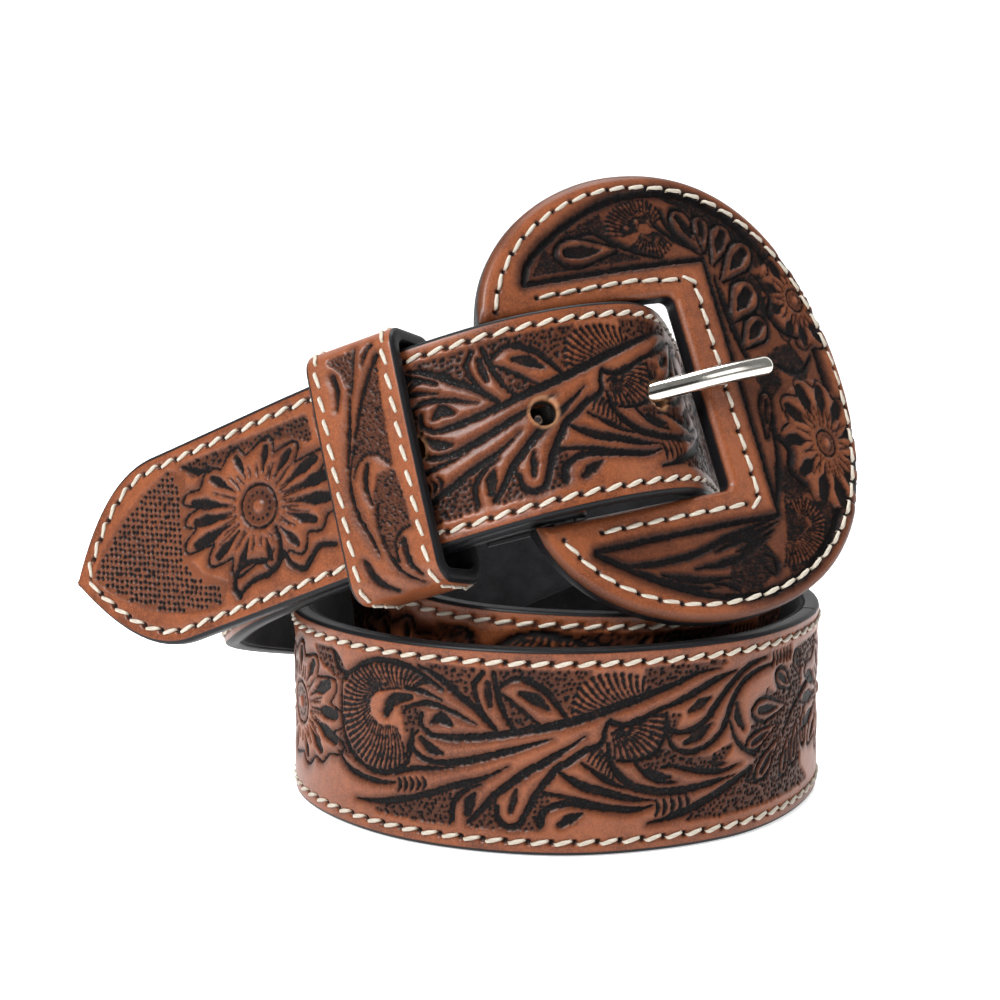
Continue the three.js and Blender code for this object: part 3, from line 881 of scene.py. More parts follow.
class Stitches:
    """Row of thread stitches, each a twisted strand that dives into a hole at both ends."""

    pitch = 4.23
    length = 3.4
    radius = 0.38
    slant = 0.27

    def __init__(self) -> None:
        """Starts with no stitches."""
        self.points: list[np.ndarray] = []
        self.painted_thread_shades: list[np.ndarray] = []

    def sew(self, centre: np.ndarray, along: np.ndarray, out: np.ndarray, slant: float) -> None:
        """Adds stitches at places, with their directions along the seam and out of the leather."""
        along, out = unit(along), unit(out)
        side = np.cross(out, along)
        run = np.sin(np.linspace(-math.pi / 2, math.pi / 2, 9))
        around = np.arange(8) * math.pi / 4
        along = unit(along + slant * side)
        side = np.cross(out, along)
        height = 0.24 - 0.8 * np.abs(run) ** 14
        radius = self.radius * (1 - 0.15 * np.abs(run) ** 4)
        twist = np.cos(2 * (around[None, :] - 1.9 * run[:, None]))
        ring = radius[:, None] * (1 + 0.13 * twist)
        lift = height[:, None] + ring * np.sin(around) * 0.85
        wide = ring * np.cos(around)
        step = run * self.length / 2
        shape = (
            centre[:, None, None] + along[:, None, None] * step[None, :, None, None]
            + side[:, None, None] * wide[None, :, :, None] + out[:, None, None] * lift[None, :, :, None]
        )
        self.points.append(shape.reshape(-1, 3))
        # Painted shade: darker in the ply grooves of the twist and toward both ends, where the thread dives into its
        # hole.
        painted_thread_shades = np.clip(0.5 - 0.9 * twist, 0, 1) * 0.7 + 0.8 * (np.abs(run) ** 6)[:, None]
        self.painted_thread_shades.append(np.tile(painted_thread_shades.ravel(), len(centre)))

    def build(self, name: str, material: bpy.types.Material, slot: str) -> None:
        """Joins the stitches into one piece."""
        points = np.vstack(self.points)
        count = len(points) // 72
        one = tube_quads(9, 8, False).reshape(-1, 4)[:, ::-1]
        faces = (one[None] + 72 * np.arange(count)[:, None, None]).reshape(-1, 4).tolist()
        for k in range(count):
            faces.append([72 * k + j for j in range(8)])
            faces.append([72 * k + 64 + j for j in range(7, -1, -1)])
        add_piece(name, points, faces, {"groove": np.concatenate(self.painted_thread_shades)}, material)


def spaced(line: np.ndarray, pitch: float) -> tuple[np.ndarray, np.ndarray]:
    """Places at an even pitch along a flat line, and the half-way places between them."""
    run = np.concatenate([[0], np.cumsum(np.linalg.norm(np.diff(line, axis=0), axis=1))])
    count = max(int(round(run[-1] / pitch)), 1)
    ends = np.linspace(0, run[-1], count + 1)
    middles = (ends[1:] + ends[:-1]) / 2
    both = [np.stack([np.interp(a, run, line[:, i]) for i in range(2)], -1) for a in (ends, middles)]
    return both[0], both[1]


# Tooled patterns, in millimetres: along from the panel's left, across from the strap's middle line

def strap_pattern() -> Sheet:
    """One repeat of the strap's tooling: daisy, ruffled shell, stems, fans, leaves and a ribbed leaf."""
    sheet = Sheet((-14, -16), (158, 16), 0.125, 3)
    for corners in (
        [(28, 14), (34, 14.5), (37, 12), (39, 10), (37, 9), (33, 10.5), (29, 12)],
        [(36, -1), (38, -1.5), (40, -4), (43, -6), (38, -5), (35.5, -3)], [(53, 6.5), (57, 6), (56.5, 3), (54, 2.5)],
        [(58.5, 14.8), (67.8, 14.8), (67, 12), (67.4, 9.4), (65.6, 10.4), (62.6, 12.6)], [(73.5, 9.5), (77, 6.5), (79, 5), (75.5, 4.2)],
        [(72.4, 14.8), (89, 14.8), (86.6, 12), (85.6, 7.6), (83, 10), (80.4, 12.6), (76, 14.2), (73, 12.8)], [(99.6, 14.8), (116, 14.8), (110.5, 13.9), (105.6, 12.4), (100, 10.9)],
        [(46.5, -14), (53.3, -11.9), (58.9, -9.9), (63, -8.2), (62.8, -14)], [(67.4, -14), (72.2, -14), (71.4, -11.4), (72, -8.6), (70.4, -9.6)],
        [(76.6, -14), (79.8, -14), (79.9, -10.8), (81.8, -9.4), (80.4, -7.2), (78.6, -9.6)], [(102, 5), (106, 6), (105, 2), (103, 2)],
        [(98, -2), (103, 0), (107, -2.5), (113, -3), (118, -1), (115, -4.6), (106, -3.6), (101, -3.6)],
        [(116, -9.5), (124, -7.5), (125, -11.5), (133, -10.8), (141, -9.5), (146, -13.6), (108, -13.8)],
        [(122, -1), (128, 7.4), (130.6, 6.2), (134, 9), (142, 12.6), (142, -9.6), (128, -11), (122.6, -8), (126, -4)], [(0, 13.8), (12, 14), (8, 11), (2, 9.5), (-3, 11)],
    ):
        sheet.seeds(corners, 1.02, 0.74, 0.3, 0.6)
    sheet.daisy((18.8, 1.0), (18.5, 12.2), 4.2, 13, 6)
    sheet.ribs(
        [(55.5, 10.3), (51, 9.6), (46.6, 8.3), (45.1, 6.1), (45.5, 3.9), (47.7, 2.2), (50.0, 2.4), (51.8, 2.2)],
        [(59, 11.8), (53.5, 13.6), (47, 13.4), (41.2, 11.2), (38, 6.5), (37.8, 2), (40.5, -3), (45, -5.6), (49.6, -5.9), (53.5, -4.4)],
        40, 1.0)
    for inner, outer, count in (
        ([(88.9, 6.9), (92, 8.3), (95.5, 9.6), (98.9, 10.4)], [(86.1, 6.6), (86.3, 10.2), (88.6, 13.4), (93.5, 14.3), (99, 13.4)], 14),
        ([(92.9, 3.6), (93.6, 4.0), (94.6, 4.4), (95.2, 5.3)], [(93.6, -1), (97.7, -1.1), (101.2, 0), (102.8, 3), (102.9, 6.2)], 12),
        ([(88.6, -1.4), (91, -3.2), (93.2, -5.2)], [(90.4, 0.9), (92.2, -0.8), (93.6, -3.2)], 7),
    ):
        sheet.ribs(inner, outer, count, 1.0)
    for root, tip, wide in (
        ((137.5, 6.3), (131.4, 10.4), 3.8), ((141.8, 8.0), (139.4, 13.0), 3.6), ((134.8, 3.4), (123.8, 4.3), 4.6),
        ((131.6, 0.4), (122.0, -2.4), 3.4), ((132.6, -2.4), (125.1, -9.0), 3.8), ((136.6, -3.0), (134.4, -10.4), 3.6),
        ((140.4, -0.8), (139.2, -9.0), 3.4), ((144.2, 1.2), (144.6, -6.4), 3.2),
    ):
        sheet.leaf(root, tip, wide, 1.0)
    for points, widths in (
        ([(37, 9.2), (41, 11.9), (45.9, 14.2), (50, 14.6), (54, 14.2), (58, 12.6), (61.5, 10.6)], (0.5, 0.9, 1.0, 0.6)),
        ([(37, 9.2), (36.6, 5.5), (36.8, 1), (39, -3.8), (44, -6.6), (49, -6.7), (53.5, -4.4), (55.4, 0.4)], (0.5, 0.8, 0.9, 0.5)),
        ([(34, 14.2), (35.2, 11.8), (37.5, 10.6), (40, 11)], (0.5, 0.9, 0.5)),
        ([(56.5, 14.5), (59.5, 13.4), (62.6, 11.6), (65.5, 9.4), (68.1, 7.6), (70, 5.7), (71.8, 3.9)], (0.5, 1.2, 1.1, 0.7)),
        ([(53.5, 10.1), (57, 9.9), (59.4, 9.3), (61.4, 8.6)], (0.7, 0.8, 0.2)),
        ([(53.3, 5.9), (55.5, 7.1), (58.5, 7.8), (61.5, 7.3), (64.5, 6.3), (68.2, 4.7)], (0.4, 0.8, 0.8, 0.2)),
        ([(57.2, 5.6), (56.8, 3.9), (58.6, 2.2), (62.6, 1.8), (68.1, 2.4), (75.5, 3.7), (84.8, 5.7), (92, 7.8),
          (99.6, 10.1), (106, 12), (110.5, 13.4), (115, 13.8)], (0.7, 1.0, 1.1, 1.3, 1.3, 0.9, 0.3)),
        ([(53.8, -2.5), (54.8, 0.8), (56.6, 2.6)], (0.5, 0.8, 0.4)),
        ([(55, 2.2), (54.9, -0.6), (57, -2.5), (60.7, -3.1), (65.4, -2.4), (70.8, -0.9), (75.5, 0.6), (79.2, 1.8), (82.3, 2.8)],
         (0.6, 0.9, 1.1, 1.0, 0.2)),
        ([(51, -6.4), (55, -5), (60, -4.3), (64, -3.6)], (0.8, 0.8, 0.2)),
        ([(41, -13.2), (47, -12.6), (53.3, -11), (58.9, -9.1), (64.4, -6.9), (68.6, -5.6), (71.2, -4.3), (74.2, -2.6)],
         (0.3, 1.1, 1.0, 1.0, 0.2)),
        ([(35.5, -5.2), (38.5, -7.6), (43, -8.6), (48, -8.7), (51.2, -8.2)], (0.5, 1.0, 0.9, 0.3)),
        ([(66.6, -13.6), (68.9, -11.3), (71.1, -8.7), (73.7, -6.5), (77, -3.9), (80.7, -1.7), (84.8, 0.9), (88.2, 3.2)],
         (0.8, 1.1, 1.2, 1.1, 0.2)),
        ([(71.9, -10.4), (72.4, -13), (74, -13.9), (75.9, -13.6), (77.7, -10.6), (79.2, -7.6), (81.4, -4.7), (82.9, -2.8),
          (85.5, -1.3), (88.1, 0.5), (91.1, 1.6), (91.8, 4.2), (92.7, 6.1)], (0.9, 1.0, 1.0, 1.1, 1.0, 0.7)),
        ([(63.3, -13.4), (63.6, -10.2), (65.9, -7.8), (69, -6.3)], (0.9, 0.9, 0.4)),
        ([(80, -13.2), (80.5, -11), (82.2, -9.8), (85.1, -9.3), (89.6, -9.9), (94, -10.6), (97.7, -11), (101.1, -10.5)],
         (1.1, 1.0, 1.0, 1.2, 1.0, 0.2)),
        ([(80.6, -7.4), (84.8, -8.1), (88.5, -8.9), (92.5, -9.8)], (0.7, 0.7, 0.2)),
        ([(83.2, -3.4), (86, -5.2), (88.5, -6.4), (92.2, -7.5), (95.9, -8.7), (100.9, -9.5)], (0.5, 1.3, 1.2, 1.0, 0.2)),
        ([(87.4, -1.7), (90.3, -3.9), (93.3, -5.8), (96.8, -7.2)], (0.4, 1.0, 0.2)),
        ([(92.4, 1.6), (92.8, -1.7), (94.4, -4.3), (97, -6.5), (100.4, -7.7), (104.4, -8.3), (110, -8.1), (119, -7)],
         (0.7, 1.1, 1.2, 1.2, 1.0, 0.2)),
        ([(93.2, 5.4), (96, 4.8), (98.6, 5.6), (101.2, 6.9), (106, 8.4), (110.3, 10.1), (114, 11.6), (119, 12.9)],
         (0.9, 0.9, 0.7, 1.1, 1.1, 0.2)),
        ([(94, -1.6), (98, -1.8), (101.6, -0.6), (103.5, 3), (103.6, 6.4)], (0.5, 0.7, 0.6)),
        ([(103.6, 6.4), (104.4, 3.4), (106.5, 2.6), (109.6, 3.1), (112.2, 4.6), (115, 7.8), (118.5, 11), (122.6, 13.3), (127.6, 14.1)],
         (0.6, 0.9, 1.0, 1.2, 1.1, 0.9, 0.3)),
        ([(104, 2), (105, 0), (108, -1.3), (111.5, -0.8), (115.1, 1.3), (116.8, 4), (118, 7), (120.6, 10.2), (125.1, 12), (129.4, 12.4)],
         (0.6, 0.8, 0.9, 1.1, 1.1, 0.9, 0.4)),
        ([(97.5, -2.2), (99.4, -4.4), (102.5, -6.2), (106, -6.6)], (0.5, 0.8, 0.3)),
        ([(104, -3.2), (108, -4.4), (112, -5.4), (116, -5.8), (120.2, -5)], (0.5, 0.9, 1.0, 0.2)),
        ([(117.6, 3.4), (118.7, 0.4), (121, -2.2), (124.6, -4.3)], (0.5, 0.8, 0.6)),
        ([(100, -13.8), (104, -13.2), (108.9, -12), (114, -10.2), (118.6, -8.3), (123.6, -6.4)], (0.3, 1.2, 1.3, 1.2, 0.8)),
        ([(134, -2), (135.5, -0.8), (138.1, 1.6), (141.1, 3.4), (145.1, 5), (150.5, 6.7)], (0.4, 0.8, 0.7, 0.3)),
        ([(69.3, 14.2), (67.9, 12.4), (68, 10), (69.2, 7.2), (71.2, 4.4)], (0.9, 0.8, 0.4)),
        ([(71.4, 14.4), (71.8, 11.6), (72.6, 9), (74, 5.7), (75.2, 4)], (0.8, 1.0, 0.5)),
        ([(72.6, 11.8), (74, 13.1), (76.3, 13.6), (79.2, 12.5), (81.4, 10.9), (82.9, 9), (84.9, 6.3)], (0.5, 0.9, 1.1, 0.7)),
        ([(72.9, 10.6), (75.5, 8.7), (77.7, 6.8), (80, 5.2)], (0.4, 0.8, 0.4)),
    ):
        sheet.stroke(points, tuple(1.4 * w for w in widths), Mark.BEVEL)
    for points, widths in (
        ([(49.3, 4.9), (50.6, 7.2), (55, 8.6)], (1.6, 2.0, 0.9)), ([(59.3, 4.3), (61.3, 5.4), (63.2, 4.3)], (0.7, 2.0, 0.7)),
        ([(57, 1), (59, -0.6), (61.3, -1.3)], (0.9, 1.7, 0.8)), ([(67.9, -8), (66.8, -10), (66.4, -12)], (0.5, 1.8, 1.3)),
        ([(75.6, -6.8), (75.1, -9), (74.6, -11)], (0.5, 1.3, 0.9)), ([(83.6, -13.2), (85.2, -12.2), (87.6, -11.2)], (1.1, 1.6, 0.4)),
        ([(70.3, 12.6), (70.4, 10.4), (70.7, 8.3)], (0.9, 1.3, 0.8)), ([(76.4, 10.9), (79, 10), (81.6, 8.1)], (0.8, 2.0, 0.6)),
        ([(99.8, -4), (102, -5.2), (104.4, -5.6)], (0.9, 1.7, 0.6)), ([(108.4, 6.5), (110.4, 7.4), (112.8, 8.5)], (0.8, 1.7, 0.5)),
        ([(107.6, 0.6), (110.2, 1.6), (113.2, 3.6)], (0.9, 1.9, 0.5)), ([(119.2, 6.6), (119.6, 3.8), (121, 1.6)], (0.7, 1.7, 0.7)),
        ([(33.6, 14.2), (35.4, 13.2), (36.6, 12.8)], (0.5, 1.2, 0.4)),
        ([(112.5, -3.6), (115, -4.4), (117, -4.4)], (0.4, 1.1, 0.3)),
    ):
        sheet.stroke(points, tuple(1.25 * w for w in widths), Mark.DENT, 0.6, 1.15)
    for start, rise, high, count, gap in (((52.2, -8.3), 0.2, 2.4, 5, 1.35), ((101.8, -11), 0.05, 2.9, 5, 1.55), ((129.8, 13.3), 0.05, 2.4, 6, 1.35)):
        for k in range(count):
            x, y = start[0] + k * gap, start[1] + k * rise
            sheet.stroke([(x - 0.2, y - high / 2), (x + 0.25, y), (x - 0.2, y + high / 2)], (0.5, 1.05, 0.5), Mark.KNIFE, 0.4)
    cells = int(round(14 / sheet.pitch))
    full = int(round(141.75 / sheet.pitch))
    for raster in (sheet.depth, sheet.shoulder, sheet.dark, sheet.lift):
        tail = raster[cells + full:]
        raster[cells:cells + len(tail)] = np.maximum(raster[cells:cells + len(tail)], tail)
        raster[cells + full - cells:cells + full] = np.maximum(raster[full:full + cells], raster[:cells])
    return sheet


def tip_pattern() -> Sheet:
    """The pointed end: cross-hatched ground, a large daisy and a curling leaf under it."""
    sheet = Sheet((0, -17), (66, 17), 0.125, 5)
    daisy, reach = (47.0, 1.0), (19.5, 12.0)
    top = [(4.4, 0.0), (8.5, 4.6), (14, 8.8), (20, 12.2), (27.5, 14.6)]
    low = [(33, -14.4), (26.5, -13.8), (19, -11.4), (12, -7.4), (7, -3.2)]
    sheet.seeds([*top, (31, 12.4), (29.5, 8), (28, 3), (26.5, -2), (30, -7.4), (35.5, -11), *low], 40, 0.1, 0.16, 0.3)
    ground = np.array([*top, (29, 11.4), (28, 6), (26.6, 1), (26, -3), (29, -8), (34, -11.4), *low])
    for i in range(-40, 60):
        for j in range(-40, 60):
            jitter = (sheet.random.random(2) - 0.5) * 0.3
            spot = (4 + 1.08 * i + 0.25 * j + jitter[0], 1.2 * j - 0.42 * i + jitter[1])
            if outline_distance(np.array([[spot[0]]]), np.array([[spot[1]]]), ground)[0, 0] < -0.1:
                sheet.dot(spot, 0.9, 1.5)
    for corners in (
        [(31, 14.4), (62, 13.6), (62, 9.4), (58, 11.5), (51, 12.9), (44, 13), (37, 11.6), (33, 12)],
    ):
        sheet.seeds(corners, 1.02, 0.72, 0.3, 0.6)
    sheet.daisy(daisy, reach, 4.2, 15, 4)
    for points, widths in (
        ([(31, 14.4), (34.5, 12.4), (37.5, 11.4)], (0.6, 1.0, 0.4)),
        ([(37.7, -14.1), (37, -12.1), (38.4, -9.6), (41.5, -8.6), (45.9, -9.4), (48.1, -8)], (1.0, 0.8, 0.9, 0.3)),
        ([(37.7, -14.1), (41, -12.4), (45.9, -12), (48.6, -10.6), (49.8, -7.6), (49.6, -4)], (0.6, 0.9, 1.0, 0.5)),
        ([(50.2, -9.4), (51.4, -12.1), (53.9, -13.7), (56.1, -12.2), (58.6, -10.7), (62, -11.4)], (0.7, 1.0, 0.7)),
    ):
        sheet.stroke(points, tuple(1.4 * w for w in widths), Mark.BEVEL)
    return sheet


def buckle_pattern() -> Sheet:
    """The buckle's face: sunk field with leaves, shells, petals and a daisy, plain border and rim."""
    sheet = Sheet((-43, -47), (43, 47), 0.15, 7)
    field_line = [
        (-29.6, 25.4), (-28, 29), (-22.5, 33.4), (-15, 37.3), (-7, 39.8), (0, 40.4), (7, 39.6), (14, 36.9), (20.5, 32.6),
        (26, 26.6), (30.2, 19), (32.8, 10), (33.6, 0), (32.6, -10), (29.6, -20), (24.6, -28.6), (18, -35), (9.5, -39.6),
        (0, -41.4), (-8, -40.4), (-15.5, -37.4), (-22, -33.6), (-29.8, -28),
    ]
    border_line = [(-29.8, -27.3), (8.6, -27.1), (9.2, -26.5), (9.4, 25.2), (8.8, 25.9), (-29.6, 25.2)]
    outline = np.array([*[tuple(p) for p in spline(np.array(field_line, float), 4)], *border_line])
    sheet.seeds([tuple(p) for p in outline], 60, 0.1, 0.62, 0.42)
    closed = [*field_line]
    sheet.stroke(closed, (1.2, 1.7, 1.5, 1.7, 1.2), Mark.BEVEL, 1.3, 1.7)
    for a, b in (((-29.8, -27.4), (9.3, -27.2)), ((9.3, -27.2), (9.5, 25.8)), ((9.5, 25.8), (-29.6, 25.3))):
        sheet.stroke([a, b], (1.2, 1.2), Mark.BEVEL, 1.0, 1.6)
    for corners in (
        [(-27, 27), (-5, 27.4), (-10, 29), (-20, 28.4), (-24, 31)], [(-20, 33.5), (-11, 36.8), (-10.5, 33.6), (-14, 34.4)],
        [(-4, -34.6), (4, -32), (6, -36), (0, -40.4), (-6, -39.4)], [(21, 6), (26, 7), (29, 2), (27, -1), (21, 2)],
        [(12, -17), (17, -19), (20, -23), (14, -24), (11, -22)], [(20, 34), (28, 25), (26, 24), (21, 29)],
        [(3, 39.6), (14, 36.2), (21, 31.2), (26, 25), (22.5, 24), (16, 31), (8, 37)], [(14, 20), (17, 22), (24, 22), (25, 12), (18, 14)],
        [(13.4, 2.6), (20, 5), (20, -1), (15.4, -4)], [(12, -24), (20, -26), (26, -25), (18, -34.6), (8, -39)],
    ):
        sheet.seeds(corners, 1.0, 0.66, 0.75, 0.85)
    sheet.daisy((27.4, -14.1), (11.8, 14.0), 2.7, 11, 8)
    sheet.daisy((31.4, 16.6), (9.4, 10.8), 2.4, 10, 14)
    for inner, outer, count in (
        ([(-3.6, 32.8), (-3.0, 34.2), (-1.6, 34.4), (-0.4, 33.4)], [(-10.4, 32.6), (-9.2, 36.4), (-5, 38.8), (0, 38.8), (2.8, 35.4)], 19),
        ([(-3.0, 32.2), (-1.6, 31.8), (-0.2, 32.4)], [(-6.4, 29.4), (-1, 26.8), (3.6, 29.8)], 12),
        ([(13.2, -27.6), (15.4, -28.2), (15.8, -30.2), (13.4, -31.8), (8.6, -33)],
         [(11.6, -24.6), (17.4, -24.9), (20.4, -28.8), (18.2, -33.4), (12.6, -36.8), (6.8, -37.2)], 27),
    ):
        sheet.ribs(inner, outer, count, 0.85, 1.8)
    petals = (
        ((9.6, 27), (5.6, 36.4), 3.6), ((10.3, 27), (11.6, 35), 3.0), ((11.4, 24.6), (17.4, 32.6), 4.0),
        ((12.4, 21), (22.2, 28.4), 4.4), ((11.6, 12.2), (20, 20), 5.0), ((12.6, 6.6), (20.4, 12.6), 4.2),
        ((-9, 29.6), (-21.6, 30.4), 4.4), ((12, -12), (15, -2.6), 2.2),
    )
    for root, tip, wide in petals:
        sheet.leaf(root, tip, 1.42 * wide, 1.7)
    for points, widths in (
        ([(-18, 33.2), (-13, 33.6), (-9.6, 31.2), (-5, 28.6), (0, 26.8)], (0.5, 0.9, 0.9, 0.3)),
        ([(0.4, 33.6), (3, 31.4), (6, 29.4), (9.2, 27)], (0.6, 1.2, 0.5)),
        ([(2.6, 36.6), (3.4, 33), (6, 30)], (0.6, 0.9, 0.3)),
        ([(9.2, -25.8), (11.6, -20.8), (13.6, -15), (14, -9)], (0.5, 1.1, 0.9, 0.4)),
        ([(11, 22), (11.4, 15), (12.4, 8), (13.6, 2)], (0.5, 1.2, 1.2, 0.4)),
        ([(-29, -28.4), (-25.9, -30.6), (-21.6, -31.6), (-11.6, -31.6), (-3, -29.6), (8.4, -27.6)], (0.4, 1.0, 1.0, 1.1, 0.3)),
        ([(-7, -31.9), (0, -30.4), (8.4, -28.4)], (0.3, 1.3, 0.3)), ([(-2.6, -32.7), (2.4, -31.4), (7, -29.8)], (0.3, 1.2, 0.2)),
        ([(-11.8, -34.3), (-4, -34.2), (1, -32.8), (5.6, -31)], (0.3, 1.2, 1.1, 0.2)),
        ([(-18.8, -34), (-15, -35.4), (-11.4, -36.6), (-5, -37.2)], (0.3, 1.3, 0.9, 0.3)),
        ([(-24, -31.8), (-19, -35.2), (-13, -37.6), (-8, -38.6)], (0.4, 1.1, 0.8, 0.3)),
        ([(-9, -37.6), (-5.6, -38.6), (-3.8, -40.6)], (0.5, 0.9, 0.4)),
        ([(3, -36.4), (4.6, -38.2), (5.6, -35.4), (3.6, -34)], (0.6, 0.8, 0.4)),
        ([(15.4, -7.4), (14.4, -11), (16.8, -14.6), (15.6, -18.6), (18.4, -22.4)], (0.5, 1.1, 1.0, 0.5)),
        ([(22.4, 21.6), (24, 17.4), (22.6, 13.6), (25.4, 9.6), (29, 8.4)], (0.5, 0.9, 0.9, 0.4)),
        ([(20, 3), (24, 1.4), (28, 1.6), (31.6, 4.6)], (0.4, 1.0, 0.9, 0.4)),
    ):
        sheet.stroke(points, tuple(1.4 * w for w in widths), Mark.BEVEL, 0.9, 1.7)
    return sheet


def keeper_pattern() -> Sheet:
    """The keeper's front: long curving leaves with stippled ground between them."""
    sheet = Sheet((-9.4, -27), (9.4, 27), 0.125, 9)
    for corners in (
        [(5.3, 18.5), (3, 14.5), (1, 10.8), (-1, 7), (-3.3, 0.6), (0, 2.2), (2.1, 1.3), (4.2, -1.1), (4.4, 8), (4.7, 15.5)],
        [(1.5, -2.5), (4.2, -2.6), (4.9, -7.5), (5.2, -12.6), (3, -14), (1.6, -16.5), (0.8, -19), (-0.4, -15.5), (-1, -12), (-0.8, -8.5), (0.2, -5)],
        [(-4, 21), (0.6, 21.4), (0, 17), (-1, 14.6), (-1.8, 18)],
    ):
        sheet.seeds(corners, 0.72, 0.46, 0.3, 0.62)
    for points, widths in (
        ([(5.6, 19.2), (3.5, 16.4), (1, 12.1), (-1.1, 7.4), (-2.9, 3.1), (-4.4, -0.4), (-4.9, -4.4), (-4.4, -8.6), (-2.9, -12.9), (-1.9, -16.5)],
         (0.9, 0.9, 0.6, 0.6, 0.8, 0.4)),
        ([(-3.9, -1.5), (-2.2, 1), (0, 2.1), (2.1, 1.4), (3.9, -0.8)], (0.4, 0.5, 0.4)),
        ([(-0.2, -7.4), (-0.9, -11.5), (-0.1, -16.1), (1.4, -20.1), (4.8, -24)], (0.5, 0.5, 0.7, 0.5)),
        ([(1.5, -18.6), (1.7, -15.1), (3.1, -13.5), (5.3, -12.9)], (0.4, 0.5, 0.4)),
        ([(-1.1, 14.2), (-2.9, 6.7), (-4.5, 0.6)], (0.3, 0.8, 0.5)),
        ([(1.2, 21.8), (0.2, 17.4), (-1, 13.6)], (0.5, 0.5, 0.3)),
    ):
        sheet.stroke(points, widths, Mark.BEVEL, 1.0)
    for points, widths in (
        ([(-0.6, 0.1), (-1.7, -3.4), (-1.2, -7.4)], (1.0, 1.1, 0.4)), ([(3.3, -15.1), (3.6, -19), (5.3, -22.2)], (1.3, 1.2, 0.5)),
        ([(-4, 18), (-3.6, 15), (-4.4, 11.7)], (1.3, 1.1, 0.4)), ([(4.6, 21.7), (3.4, 20.2), (2.4, 18.5)], (1.0, 0.9, 0.5)),
        ([(-5.1, -16.9), (-3.6, -20.8), (-0.8, -24.4)], (0.9, 1.6, 1.2)),
    ):
        sheet.stroke(points, widths, Mark.DENT, 0.7, 1.2)
    return sheet


# Strap

